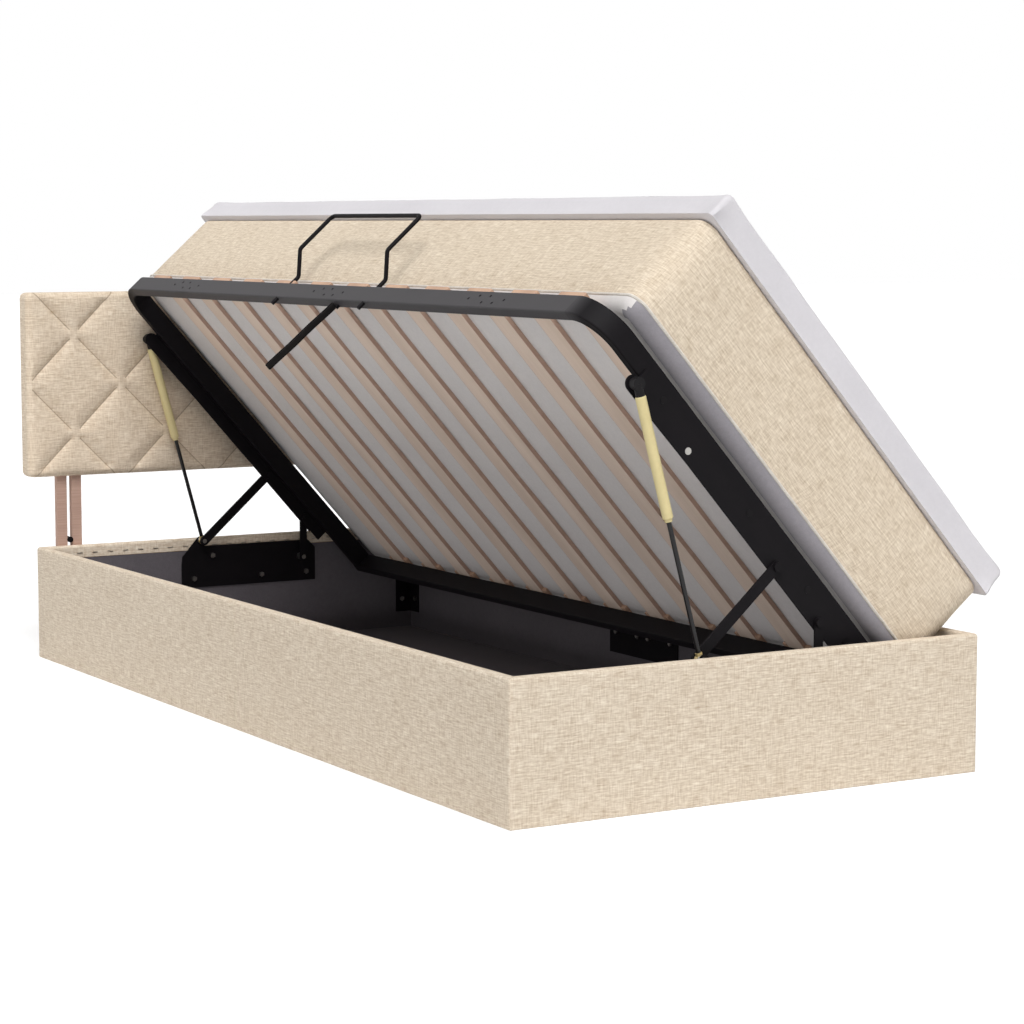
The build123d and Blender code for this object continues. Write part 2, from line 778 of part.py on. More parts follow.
# Handle hoop of bent wire, up through the front rail and out over the rim
with BuildPart() as handle_hoop:
    with BuildLine() as hoop_path:
        corners = []
        for y in (hoop_centre - hoop_half_span, hoop_centre + hoop_half_span):
            leg = [
                lid_point(hoop_leg_a, y, -hoop_drop),
                lid_point(hoop_leg_a, y, hoop_knee),
                lid_point(hoop_out_a, y, hoop_shoulder),
                lid_point(hoop_out_a, y, hoop_top),
            ]
            corners += leg if y < hoop_centre else leg[::-1]
        FilletPolyline(*corners, radius=hoop_bend)
    with BuildSketch(Plane(origin=hoop_path.line @ 0, z_dir=hoop_path.line % 0)):
        Circle(hoop_radius)
    sweep(path=hoop_path.line)
save(handle_hoop, "handle_hoop")

# Pull strap: a flat loop of webbing that swings on a pin under the front rail
pin_a = strap_middle_a + strap_width / 2 - strap_pin_inset
pin_n = rail_bottom - strap_gap - strap_pin_drop
with BuildPart() as pull_strap:
    strap_turn = degrees(atan2(-strap_length, strap_tip_y - strap_root_y))
    strap_slant = hypot(strap_length, strap_tip_y - strap_root_y)
    strap_mid = ((strap_root_y + strap_tip_y) / 2, rail_bottom - strap_gap - strap_length / 2)
    with BuildSketch(lid_front_plane(strap_middle_a - strap_width / 2)):
        with Locations(Location(strap_mid, strap_turn)):
            SlotOverall(strap_slant, strap_loop_width)
            loop_length = strap_slant - 2 * strap_thickness
            SlotOverall(loop_length, strap_loop_width - 2 * strap_thickness, mode=Mode.SUBTRACT)
    extrude(amount=strap_width)
    pin_place = lid_point(pin_a, strap_root_y - strap_loop_width, pin_n)
    pin_hole = strap_pin_radius + running_clearance
    hole = peg(pin_place.X, pin_place.Y, pin_place.Z, (0, 1, 0), pin_hole, 0, 2 * strap_loop_width)
    add(hole, mode=Mode.SUBTRACT)
save(pull_strap, "pull_strap")

# Clip with two ears and a pin, which holds the strap's root under the front rail
with BuildPart() as strap_clip:
    for sy in SIDES.values():
        ear_y = strap_root_y + sy * (clip_inner_half + clip_wall / 2)
        with BuildSketch(lid_plane.offset(rail_bottom)):
            with Locations((pin_a, ear_y)):
                Rectangle(clip_depth, clip_wall)
        extrude(amount=pin_n - rail_bottom - clip_depth / 2)
    pin_start = lid_point(pin_a, strap_root_y - clip_inner_half - clip_wall, pin_n)
    pin_length = 2 * (clip_inner_half + clip_wall)
    add(peg(pin_start.X, pin_start.Y, pin_start.Z, (0, 1, 0), strap_pin_radius, 0, pin_length))
save(strap_clip, "strap_clip")


def mattress_outline(grow, corner):
    """The mattress seen from above, grown or shrunk, in the lid's frame."""
    with Locations((mattress_width / 2, 0)):
        RectangleRounded(mattress_width + 2 * grow, 2 * (mattress_half_length + grow), corner)


# Mattress: woven border with its top, the grey underside and a piping line between them
with BuildPart() as mattress_border:
    with BuildSketch(lid_plane):
        mattress_outline(0, mattress_corner)
    extrude(amount=mattress_height)
    top = mattress_border.faces().sort_by(Axis(origin=(0, 0, 0), direction=upward))[-1]
    fillet(top.edges(), mattress_edge_round)
    with BuildSketch(lid_plane):
        mattress_outline(-mattress_wall, mattress_corner - mattress_wall)
    extrude(amount=mattress_height - mattress_wall, mode=Mode.SUBTRACT)
save(mattress_border, "mattress_border")

with BuildPart() as mattress_underside:
    with BuildSketch(lid_plane.offset(-mattress_drop)):
        mattress_outline(0, mattress_corner)
    extrude(amount=mattress_drop)
    bottom = mattress_underside.faces().sort_by(Axis(origin=(0, 0, 0), direction=upward))[0]
    fillet(bottom.edges(), belly_round)
    with BuildSketch(lid_plane.offset(mattress_wall - mattress_drop)):
        mattress_outline(-belly_round, mattress_corner - belly_round)
    extrude(amount=mattress_drop - mattress_wall, mode=Mode.SUBTRACT)
save(mattress_underside, "mattress_underside")

with BuildPart() as mattress_piping:
    with BuildSketch(lid_plane.offset(-piping_height / 2)):
        mattress_outline(piping_radius, mattress_corner + piping_radius)
    extrude(amount=piping_height)
    with BuildSketch(lid_plane.offset(-piping_height)):
        mattress_outline(0, mattress_corner)
    extrude(amount=2 * piping_height, mode=Mode.SUBTRACT)
save(mattress_piping, "mattress_piping")

# Topper: a soft quilt box laid on the mattress
with BuildPart() as topper:
    with BuildSketch(lid_plane.offset(mattress_height)):
        mattress_outline(topper_overhang, topper_corner)
    extrude(amount=topper_height)
    top = topper.faces().sort_by(Axis(origin=(0, 0, 0), direction=upward))[-1]
    fillet(top.edges(), topper_round)
    with BuildSketch(lid_plane.offset(mattress_height)):
        mattress_outline(topper_overhang - topper_rim, topper_corner - topper_rim)
    extrude(amount=topper_height - topper_skin, mode=Mode.SUBTRACT)
save(topper, "topper")

# Headboard legs: boards with a long slot
for name, sx in (("headboard_leg_front", -1), ("headboard_leg_hinge", 1)):
    with BuildPart() as headboard_leg:
        leg_front = half_length + side_clearance
        with BuildSketch(Plane.XZ.offset(-(leg_front + leg_thickness))):
            with Locations((sx * leg_x, (leg_low + leg_high) / 2)):
                RectangleRounded(leg_width, leg_high - leg_low, leg_round)
            with Locations(Location((sx * leg_x, (slot_low + slot_high) / 2), 90)):
                SlotOverall(slot_high - slot_low, slot_width, mode=Mode.SUBTRACT)
        extrude(amount=leg_thickness)
    save(headboard_leg, name)

leg_back = half_length + side_clearance + leg_thickness

# Headboard's inner board, behind the legs
with BuildPart() as headboard_board:
    board_low = headboard_low + pad_wall
    board_high = headboard_high - pad_wall
    with BuildSketch(Plane.XZ.offset(-(leg_back + panel_board_thickness))):
        with Locations((0, (board_low + board_high) / 2)):
            RectangleRounded(2 * (headboard_half_width - pad_wall), board_high - board_low, leg_round)
    extrude(amount=panel_board_thickness)
save(headboard_board, "headboard_board")

# Bolts that hold the legs, and the stop bolts that rest above the rim
with BuildPart() as leg_bolts:
    bolt_end = half_length + hole_clearance - bolt_depth
    head_face = leg_back + side_clearance
    for sx in (-1, 1):
        for z in panel_bolt_heights:
            bolt_x = sx * leg_x
            add(peg(bolt_x, bolt_end, z, (0, 1, 0), panel_bolt_radius, 0, head_face - bolt_end))
            add(peg(bolt_x, head_face, z, (0, 1, 0), panel_bolt_head_radius, 0, head_height))
save(leg_bolts, "leg_bolts")

with BuildPart() as stop_bolts:
    face = half_length + side_clearance
    for sx in (-1, 1):
        bolt_x = sx * leg_x
        add(peg(bolt_x, face, stop_bolt_z, (0, 1, 0), stop_bolt_radius, stop_head_height, leg_thickness))
        add(peg(bolt_x, face, stop_bolt_z, (0, -1, 0), stop_head_radius, 0, stop_head_height))
        add(peg(bolt_x, leg_back, stop_bolt_z, (0, 1, 0), stop_head_radius, 0, stop_head_height))
save(stop_bolts, "stop_bolts")


def quilt_groove(x1, z1, x2, z2):
    """A three-sided bar that presses one diagonal groove into the pad's front."""
    length = hypot(x2 - x1, z2 - z1)
    direction = ((x2 - x1) / length, 0, (z2 - z1) / length)
    plane = Plane(origin=(x1, headboard_front, z1), x_dir=(0, 1, 0), z_dir=direction)
    with BuildPart() as groove:
        with BuildSketch(plane):
            Polygon((0, -quilt_half_groove), (quilt_depth, 0), (0, quilt_half_groove), align=None)
        extrude(amount=length)
    return groove.part


def quilt_grooves():
    """Diagonals of the diamond pattern, broken off near each crossing and near the edges."""
    step = 2 * headboard_half_width / quilt_columns
    low = headboard_low + quilt_edge
    high = headboard_high - quilt_edge
    grooves = []
    for column in range(quilt_columns):
        for row in range(-quilt_rows, quilt_rows):
            rising = (column + row) % 2 == 0
            x1 = -headboard_half_width + column * step
            z1 = quilt_mid_z + (row if rising else row + 1) * step
            direction = 1 if rising else -1
            start = quilt_break
            end = step - quilt_break
            if direction > 0:
                start = max(start, low - z1)
                end = min(end, high - z1)
            else:
                start = max(start, z1 - high)
                end = min(end, z1 - low)
            if end - start > quilt_break:
                grooves.append(
                    quilt_groove(x1 + start, z1 + direction * start, x1 + end, z1 + direction * end)
                )
    return grooves


# Padded and quilted cover of the headboard
with BuildPart() as headboard_pad:
    middle = (headboard_low + headboard_high) / 2
    height = headboard_high - headboard_low
    with BuildSketch(Plane.XZ.offset(-headboard_back)):
        with Locations((0, middle)):
            RectangleRounded(2 * headboard_half_width, height, headboard_corner)
    extrude(amount=headboard_back - headboard_front)
    front = headboard_pad.faces().sort_by(Axis.Y)[0]
    fillet(front.edges(), headboard_edge_round)
    for groove in quilt_grooves():
        add(groove, mode=Mode.SUBTRACT)
    # Pocket for the board, open at the back
    pocket_front = half_length
    with BuildSketch(Plane.XZ.offset(-headboard_back)):
        with Locations((0, middle)):
            RectangleRounded(2 * (headboard_half_width - pad_wall), height - 2 * pad_wall, leg_round)
    extrude(amount=headboard_back - pocket_front, mode=Mode.SUBTRACT)
    # Ways out for the legs
    with BuildSketch(Plane.XZ.offset(-headboard_back)):
        for sx in (-1, 1):
            with Locations((sx * leg_x, headboard_low)):
                Rectangle(leg_width + 2 * side_clearance, 2 * pad_wall + leg_round)
    extrude(amount=headboard_back - pocket_front, mode=Mode.SUBTRACT)
save(headboard_pad, "headboard_pad")
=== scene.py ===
# %% [markdown]
# # A storage bed that opens at its side
# The bed's box, steel frame, slats, struts and headboard legs come from the CAD part, as a fixed
# frame in metres. This lesson gives them their finishes, and makes the soft things anew: the cloth
# on the box, the mattress with its topper, the quilted headboard and the pull strap. We could paint
# everything in one colour and let the shapes do the work, but cloth, foam and paint are told apart
# by their surfaces, so each gets its own material.

# %% Load the frame
import math

import bpy
from mathutils import Matrix, Vector


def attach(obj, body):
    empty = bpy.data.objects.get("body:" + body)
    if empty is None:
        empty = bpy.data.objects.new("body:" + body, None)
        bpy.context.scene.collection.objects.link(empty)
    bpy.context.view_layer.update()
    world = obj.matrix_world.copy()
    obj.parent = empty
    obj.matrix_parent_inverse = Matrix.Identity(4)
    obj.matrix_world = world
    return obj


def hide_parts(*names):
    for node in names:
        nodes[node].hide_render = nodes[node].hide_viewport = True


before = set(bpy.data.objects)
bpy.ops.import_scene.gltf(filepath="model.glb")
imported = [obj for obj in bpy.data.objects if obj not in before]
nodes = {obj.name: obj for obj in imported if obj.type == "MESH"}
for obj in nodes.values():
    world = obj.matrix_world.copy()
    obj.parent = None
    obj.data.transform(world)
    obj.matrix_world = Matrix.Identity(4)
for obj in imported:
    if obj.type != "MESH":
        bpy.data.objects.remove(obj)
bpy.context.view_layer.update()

# %% [markdown]
# ## The camera and the studio
# The photograph was taken with a long lens from the foot end and the opening side, a little above
# the bed. The room is a white studio: a pale floor, an even white surround, one large soft lamp
# high over the foot end, and a weak low one on the opening side, which reaches up under the lid. A
# faint lamp on the box's floor keeps the shadows under the lid open, as they are in the photograph.
# No camera or reflection sees it.

# %% The camera
SENSOR_WIDTH = 36
LENS = 97.9
CAMERA_PLACE = (-2.6123, -4.6803, 0.9387)
CAMERA_DOWN = 5.9236
CAMERA_TURN = -30.4085

lens = bpy.data.cameras.new("photo_camera")
lens.lens = LENS
lens.sensor_width = SENSOR_WIDTH
lens.clip_end = 100
camera = bpy.data.objects.new("photo_camera", lens)
camera.location = CAMERA_PLACE
camera.rotation_euler = (math.radians(90 - CAMERA_DOWN), 0, math.radians(CAMERA_TURN))
bpy.context.collection.objects.link(camera)
bpy.context.scene.camera = camera
bpy.context.scene.view_settings.view_transform = "Standard"
print("Camera at", CAMERA_PLACE, "with a lens of", LENS, "mm")


# %% Colours as they are seen on a screen
def seen(red, green, blue):
    """Turns a screen colour from 0 to 255 into the linear colour that a shader wants."""
    shares = [c / 255 for c in (red, green, blue)]
    linear = [s / 12.92 if s <= 0.04045 else ((s + 0.055) / 1.055) ** 2.4 for s in shares]
    return (*linear, 1)


# %% A short way to add and join shader nodes
def add_node(tree, kind, inputs=None, **options):
    """Adds a node, sets its options, and fills or links its inputs."""
    made = tree.nodes.new("ShaderNode" + kind)
    for key, value in options.items():
        setattr(made, key, value)
    for key, value in (inputs or {}).items():
        if isinstance(value, bpy.types.NodeSocket):
            tree.links.new(value, made.inputs[key])
        else:
            made.inputs[key].default_value = value
    return made


def value_of(tree, operation, first, second=0.5, third=0.0):
    """A Math node's result."""
    made = add_node(tree, "Math", {0: first, 1: second, 2: third}, operation=operation)
    return made.outputs[0]


# %% [markdown]
# ### The surround
# White is a colour of the world and of the floor, not more light on the bed. The world lights the
# bed at one level, and only the camera and clear reflections see it as full white. The floor adds a
# little glow of its own for the camera, so that it stays white and still keeps a soft shadow.

# %% World, floor and lamp
SURROUND_LIGHT = 0.24
FLOOR_SIZE = 60
FLOOR_TONE = (0.82, 0.82, 0.82, 1)
FLOOR_GLOW = 0.34
WHITE = (1, 1, 1, 1)
GLOW_POWER = 1.3
GLOW_WIDTH = 0.80
GLOW_LENGTH = 1.90
GLOW_HEIGHT = 0.03
LAMPS = {
    "large_soft_lamp": (2.80, 34, Vector((-0.258, -0.494, 0.831))),
    "low_fill_lamp": (0.30, 60, Vector((-0.950, -0.300, 0.060))),
}


def sees_studio(tree):
    """1 where the camera, a reflection or clear glass looks, and 0 for the light that falls on things."""
    path = add_node(tree, "LightPath")
    straight = value_of(tree, "MAXIMUM", path.outputs["Is Camera Ray"], path.outputs["Is Glossy Ray"])
    return value_of(tree, "MAXIMUM", straight, path.outputs["Is Transmission Ray"])


world = bpy.data.worlds.new("studio")
world.use_nodes = True
bpy.context.scene.world = world
tree = world.node_tree
tree.nodes.clear()
strength = value_of(tree, "MULTIPLY_ADD", sees_studio(tree), 1 - SURROUND_LIGHT, SURROUND_LIGHT)
background = add_node(tree, "Background", {"Color": WHITE, "Strength": strength})
add_node(tree, "OutputWorld", {"Surface": background.outputs[0]})

bpy.ops.object.select_all(action="DESELECT")
bpy.ops.mesh.primitive_plane_add(size=FLOOR_SIZE)
floor = bpy.context.object
floor.name = "studio_floor"
floor_look = bpy.data.materials.new("studio_floor")
floor_look.use_nodes = True
tree = floor_look.node_tree
tree.nodes.clear()
matt = add_node(tree, "BsdfDiffuse", {"Color": FLOOR_TONE})
glow_level = value_of(tree, "MULTIPLY", sees_studio(tree), FLOOR_GLOW)
glow = add_node(tree, "Emission", {"Color": WHITE, "Strength": glow_level})
both = add_node(tree, "AddShader", {0: matt.outputs[0], 1: glow.outputs[0]})
add_node(tree, "OutputMaterial", {"Surface": both.outputs[0]})
floor.data.materials.append(floor_look)

for lamp_name, (strength, angle, comes_from) in LAMPS.items():
    lamp = bpy.data.lights.new(lamp_name, "SUN")
    lamp.energy = strength
    lamp.angle = math.radians(angle)
    lamp_object = bpy.data.objects.new(lamp_name, lamp)
    lamp_object.rotation_euler = comes_from.to_track_quat("Z", "Y").to_euler()
    bpy.context.collection.objects.link(lamp_object)

faint = bpy.data.lights.new("box_glow", "AREA")
faint.shape = "RECTANGLE"
faint.size, faint.size_y = GLOW_WIDTH, GLOW_LENGTH
faint.energy = GLOW_POWER
faint_object = bpy.data.objects.new("box_glow", faint)
faint_object.location = (0, 0, GLOW_HEIGHT)
faint_object.rotation_euler = (math.pi, 0, 0)
faint_object.visible_camera = False
faint_object.visible_glossy = False
faint_object.visible_transmission = False
bpy.context.collection.objects.link(faint_object)
print("Surround", SURROUND_LIGHT, "and lamps", [*LAMPS, "box_glow"])

# %% [markdown]
# ## Effects that several finishes share
# Linen, wood, paint and felt each have a pattern that more than one material uses. Each pattern is
# a node group that puts out a mask for the colour and a height for the bump. The colours stay in
# the material.


# %% A node group with named sockets
def new_group(name, numbers):
    """An empty group with a Vector input, named numbers, and a Mask and a Height output."""
    group = bpy.data.node_groups.new(name, "ShaderNodeTree")
    group.interface.new_socket("Vector", in_out="INPUT", socket_type="NodeSocketVector")
    for label, usual in numbers.items():
        socket = group.interface.new_socket(label, in_out="INPUT", socket_type="NodeSocketFloat")
        socket.default_value = usual
    group.interface.new_socket("Mask", in_out="OUTPUT", socket_type="NodeSocketFloat")
    group.interface.new_socket("Height", in_out="OUTPUT", socket_type="NodeSocketFloat")
    entry = group.nodes.new("NodeGroupInput")
    return group, entry


def close_group(group, mask, height):
    """Joins a mask and a height to the group's outputs."""
    leave = group.nodes.new("NodeGroupOutput")
    group.links.new(mask, leave.inputs["Mask"])
    group.links.new(height, leave.inputs["Height"])


def stretched_noise(tree, vector, per_metre, detail=3.0, rough=0.55):
    """Noise with its own number of blots a metre along each axis."""
    scaled = add_node(tree, "VectorMath", {0: vector, 1: per_metre}, operation="MULTIPLY")
    inputs = {"Vector": scaled.outputs[0], "Scale": 1.0, "Detail": detail, "Roughness": rough}
    return add_node(tree, "TexNoise", inputs).outputs[0]


def fine_noise(tree, entry, label, detail):
    """Even noise whose scale is one of the group's named numbers."""
    inputs = {"Vector": entry.outputs["Vector"], "Scale": entry.outputs[label], "Detail": detail}
    return add_node(tree, "TexNoise", inputs).outputs[0]


def weighted(tree, parts):
    """Adds up values, each less one half and times its weight, round one half."""
    total = None
    for part, weight in parts:
        centred = value_of(tree, "SUBTRACT", part, 0.5)
        total = value_of(tree, "MULTIPLY_ADD", centred, weight, 0.5 if total is None else total)
    return total


def clamped(tree, value):
    """A value held between 0 and 1."""
    return add_node(tree, "Clamp", {0: value}).outputs[0]


# %% [markdown]
# ### Linen
# The cloth is a plain weave of uneven yarn. Thick places in the yarn, called slubs, show as short
# streaks that are long along the thread and only a yarn or two high. Stretched noise makes them, in
# two layers along the weft and one along the warp, and a fine sine weave lies under them. A
# photograph of cloth would do it too, but it would tie the bed to one cloth and one scale.

# %% Linen group
linen, entry = new_group("Linen weave", {"Slubs": 1.0, "Yarns per metre": 420.0})
uv = entry.outputs["Vector"]
weft = stretched_noise(linen, uv, (32, 340, 1), 2.0, 0.5)
fine_weft = stretched_noise(linen, uv, (90, 520, 1), 1.0)
warp = stretched_noise(linen, uv, (360, 45, 1), 2.0, 0.5)
mottle = stretched_noise(linen, uv, (7, 9, 1), 3.0)
yarns = value_of(linen, "MULTIPLY", entry.outputs["Yarns per metre"], 2 * math.pi)
apart = add_node(linen, "SeparateXYZ", {0: uv})
over = value_of(linen, "SINE", value_of(linen, "MULTIPLY", apart.outputs[0], yarns))
under = value_of(linen, "SINE", value_of(linen, "MULTIPLY", apart.outputs[1], yarns))
weave = value_of(linen, "MULTIPLY_ADD", value_of(linen, "MULTIPLY", over, under), 0.5, 0.5)
streaks = weighted(
    linen, [(weft, 1.25), (fine_weft, 0.95), (warp, 0.95), (mottle, 0.20), (weave, 0.10)]
)
depth = value_of(linen, "MULTIPLY", value_of(linen, "SUBTRACT", streaks, 0.5), entry.outputs["Slubs"])
mask = clamped(linen, value_of(linen, "ADD", depth, 0.5))
height = weighted(linen, [(weft, 0.9), (fine_weft, 0.5), (warp, 0.7), (weave, 0.35)])
close_group(linen, mask, height)
print("Linen group:", len(linen.nodes), "nodes")

# %% [markdown]
# ### Wood
# Sawn wood shows long fibres. A wave bent by noise gives the rings, and a stretched noise gives the
# fibres.

# %% Wood group
wood, entry = new_group("Wood fibres", {"Rings": 60.0})
place = entry.outputs["Vector"]
bent = stretched_noise(wood, place, (2.5, 18, 18), 3.0)
apart = add_node(wood, "SeparateXYZ", {0: place})
ring_place = value_of(wood, "MULTIPLY_ADD", bent, 0.12, apart.outputs[1])
rings = value_of(wood, "SINE", value_of(wood, "MULTIPLY", ring_place, entry.outputs["Rings"]))
rings = value_of(wood, "MULTIPLY_ADD", rings, 0.5, 0.5)
fibres = stretched_noise(wood, place, (9, 420, 420), 3.0, 0.65)
patches = stretched_noise(wood, place, (3, 14, 14), 2.0)
mixed = weighted(wood, [(fibres, 0.9), (rings, 0.30), (patches, 0.6)])
close_group(wood, clamped(wood, mixed), fibres)
print("Wood group:", len(wood.nodes), "nodes")

# %% [markdown]
# ### Paint and felt
# Powder paint has a fine orange peel and faint cloudy patches where dust lies. Felt and foam covers
# are soft noise at two sizes.

# %% Paint and felt groups
paint, entry = new_group("Powder paint", {"Peel per metre": 700.0})
place = entry.outputs["Vector"]
clouds = stretched_noise(paint, place, (14, 14, 14), 4.0, 0.6)
scuffs = stretched_noise(paint, place, (160, 160, 160), 4.0, 0.7)
peel = fine_noise(paint, entry, "Peel per metre", 1.0)
mixed = weighted(paint, [(clouds, 0.8), (scuffs, 0.5)])
close_group(paint, clamped(paint, mixed), peel)

felt, entry = new_group("Felt and foam cover", {"Nap per metre": 900.0})
place = entry.outputs["Vector"]
soft_patches = stretched_noise(felt, place, (5, 5, 5), 3.0)
nap = fine_noise(felt, entry, "Nap per metre", 2.0)
pills = stretched_noise(felt, place, (120, 120, 120), 3.0, 0.7)
mixed = weighted(felt, [(soft_patches, 0.7), (nap, 0.5), (pills, 0.5)])
close_group(felt, clamped(felt, mixed), weighted(felt, [(nap, 0.5), (pills, 0.8)]))
print("Groups:", [g.name for g in bpy.data.node_groups])

# %% [markdown]
# ## Finishes
# Every finish is one material: a group for its pattern, two colours that the mask mixes, a bump
# from the height, and plain numbers on the shader itself for roughness, metal and sheen.

# %% A material from a group
LID_TILT = math.radians(48.3)


def new_look(
    name, group, dark, light, bump, reach, rough, on_uv=False, tilted=False, **numbers
):
    """A material whose group gives its colour between dark and light, its roughness and its bump."""
    look = bpy.data.materials.new(name)
    look.use_nodes = True
    tree = look.node_tree
    shader = tree.nodes["Principled BSDF"]
    if on_uv:
        place = add_node(tree, "UVMap", uv_map="cloth").outputs[0]
    else:
        place = add_node(tree, "TexCoord").outputs["Object"]
    if tilted:
        level = {"Vector": place, "Rotation": (0, -LID_TILT, 0)}
        place = add_node(tree, "Mapping", level).outputs[0]
    pattern = add_node(tree, "Group", node_tree=group)
    tree.links.new(place, pattern.inputs["Vector"])
    mask, height = pattern.outputs["Mask"], pattern.outputs["Height"]
    mix = add_node(tree, "MixRGB", {"Fac": mask, "Color1": dark, "Color2": light})
    tree.links.new(mix.outputs[0], shader.inputs["Base Color"])
    spread = value_of(tree, "MULTIPLY_ADD", mask, rough[1] - rough[0], rough[0])
    tree.links.new(spread, shader.inputs["Roughness"])
    relief = add_node(tree, "Bump", {"Height": height, "Strength": bump, "Distance": reach})
    tree.links.new(relief.outputs[0], shader.inputs["Normal"])
    for key, value in numbers.items():
        socket = key.replace("_", " ").title().replace("Ior", "IOR")
        shader.inputs[socket].default_value = value
    return look


def add_tone(look, mask, tone):
    """Lays one more colour over a material where a mask is 1."""
    tree = look.node_tree
    base = tree.nodes["Principled BSDF"].inputs["Base Color"]
    mix = add_node(tree, "MixRGB", {"Fac": mask, "Color1": base.links[0].from_socket, "Color2": tone})
    tree.links.new(mix.outputs[0], base)


def place_on(tree, axis):
    """One of a point's three coordinates, 0 for X to 2 for Z."""
    place = add_node(tree, "TexCoord").outputs["Object"]
    return add_node(tree, "SeparateXYZ", {0: place}).outputs[axis]


# %% Cloth finishes
CLOTH_SHINE = {"specular_ior_level": 0.2, "sheen_weight": 0.05}


def new_linen(name, dark, light, bump):
    """Matt linen with very little sheen."""
    return new_look(name, linen, dark, light, bump, 0.0006, (0.85, 0.97), True, **CLOTH_SHINE)


def new_foam_cover(name, dark, light):
    """The soft nonwoven under the mattress."""
    return new_look(name, felt, dark, light, 0.2, 0.0006, (0.85, 0.95), **CLOTH_SHINE)


box_linen = new_linen("box_linen", seen(192, 171, 147), seen(242, 231, 213), 0.4)
mattress_linen = new_linen("mattress_linen", seen(194, 174, 149), seen(243, 230, 210), 0.35)
headboard_linen = new_linen("headboard_linen", seen(198, 175, 148), seen(247, 233, 213), 0.4)
topper_cloth = new_look(
    "topper_cloth", felt, seen(208, 205, 209), seen(226, 223, 227), 0.15, 0.0006, (0.85, 0.95),
    sheen_weight=0.1,
)
mattress_grey = new_foam_cover("mattress_grey", seen(206, 201, 199), seen(232, 228, 226))
# A darker copy of the grey nonwoven: painted shade for the rounded band at the mattress's ends.
mattress_shade_band = new_foam_cover("mattress_shade_band", seen(132, 129, 134), seen(166, 162, 167))
piping_tape = new_look(
    "piping_tape", linen, seen(196, 188, 178), seen(236, 230, 222), 0.3, 0.0005, (0.8, 0.9), True
)
black_lining = new_look(
    "black_lining", felt, seen(80, 76, 80), seen(110, 105, 110), 0.6, 0.0012, (0.75, 0.95),
    specular_ior_level=0.3,
)
webbing = new_look(
    "webbing", linen, seen(6, 5, 6), seen(30, 26, 25), 0.6, 0.0005, (0.7, 0.85), True,
    specular_ior_level=0.15,
)
print("Cloth finishes made")

# %% Wood finishes
chipboard = new_look("chipboard", felt, seen(150, 120, 86), seen(202, 172, 130), 0.4, 0.0006, (0.75, 0.9))
hardboard = new_look("hardboard", felt, seen(86, 62, 44), seen(124, 94, 68), 0.2, 0.0004, (0.5, 0.7))
birch = new_look(
    "birch", wood, seen(214, 192, 174), seen(238, 219, 203), 0.25, 0.0004, (0.6, 0.75), False, True,
    specular_ior_level=0.25,
)
holder_wood = new_look(
    "holder_wood", wood, seen(170, 132, 110), seen(222, 186, 158), 0.3, 0.0004, (0.5, 0.7), False, True
)
leg_wood = new_look(
    "leg_wood", wood, seen(164, 131, 115), seen(205, 173, 158), 0.35, 0.0005, (0.6, 0.8),
    specular_ior_level=0.25,
)
print("Wood finishes made")

# %% [markdown]
# A slat is glued from thin layers of birch, and the cut edges of its layers are browner than its
# faces. The brown on the side faces is partly that colour and partly painted shade, for the shade
# those faces lie in. A mask that repeats with the slats' own spacing finds those edges, wherever
# the slat lies.

# %% Brown edges of the slats, partly painted shade
SLAT_FIRST = -0.854
SLAT_PITCH = 0.1505
SLAT_EDGE = 0.0252
tree = birch.node_tree
from_first = value_of(tree, "SUBTRACT", place_on(tree, 1), SLAT_FIRST)
from_slat = value_of(tree, "WRAP", from_first, SLAT_PITCH / 2, -SLAT_PITCH / 2)
edge_colour_and_shade = value_of(tree, "GREATER_THAN", value_of(tree, "ABSOLUTE", from_slat), SLAT_EDGE)
# The brown tone on the side faces is partly the layers' colour and partly painted shade.
add_tone(birch, edge_colour_and_shade, seen(192, 162, 144))
print("Slats", SLAT_PITCH, "m apart, brown from", SLAT_EDGE, "m off their middle")

# %% Metal and plastic finishes
ZINC_TONES = (seen(150, 148, 142), seen(204, 202, 198))


def new_black(name):
    """The matt black powder paint of the frame and the lift mechanisms."""
    return new_look(
        name, paint, seen(10, 9, 11), seen(25, 22, 25), 0.12, 0.0002, (0.5, 0.65), specular_ior_level=0.10
    )


black_paint = new_black("black_paint")
grey_paint = new_look(
    "grey_paint", paint, seen(53, 51, 53), seen(74, 72, 74), 0.10, 0.0002, (0.5, 0.65),
    specular_ior_level=0.2,
)
zinc = new_look("zinc", paint, *ZINC_TONES, 0.15, 0.0002, (0.25, 0.42), metallic=1.0)
lid_bolt_zinc = new_look(
    "lid_bolt_zinc", paint, *ZINC_TONES, 0.15, 0.0002, (0.35, 0.5), specular_ior_level=0.1
)
gold_zinc = new_look(
    "gold_zinc", paint, seen(176, 150, 96), seen(224, 204, 150), 0.15, 0.0002, (0.3, 0.5), metallic=0.6
)
dark_rod = new_look(
    "dark_rod", paint, seen(12, 11, 12), seen(30, 28, 30), 0.05, 0.0001, (0.25, 0.38), metallic=0.25
)
cream_paint = new_look(
    "cream_paint", paint, seen(212, 196, 144), seen(230, 216, 164), 0.08, 0.0002, (0.45, 0.6),
    specular_ior_level=0.3,
)
black_plastic = new_look(
    "black_plastic", paint, seen(14, 13, 14), seen(30, 28, 30), 0.2, 0.0002, (0.4, 0.6),
    specular_ior_level=0.15,
)
steel_wire = new_look(
    "steel_wire", paint, seen(150, 146, 138), seen(196, 192, 184), 0.1, 0.0002, (0.3, 0.5), metallic=1.0
)
print("Metal and plastic finishes made")

# %% [markdown]
# The grey of the front rail runs on into its bent corners and fades to black part of the way
# round. That grey on the corners is painted light: it stands for the reflection the bend catches
# while it faces the front, and fades out where the bend turns away.

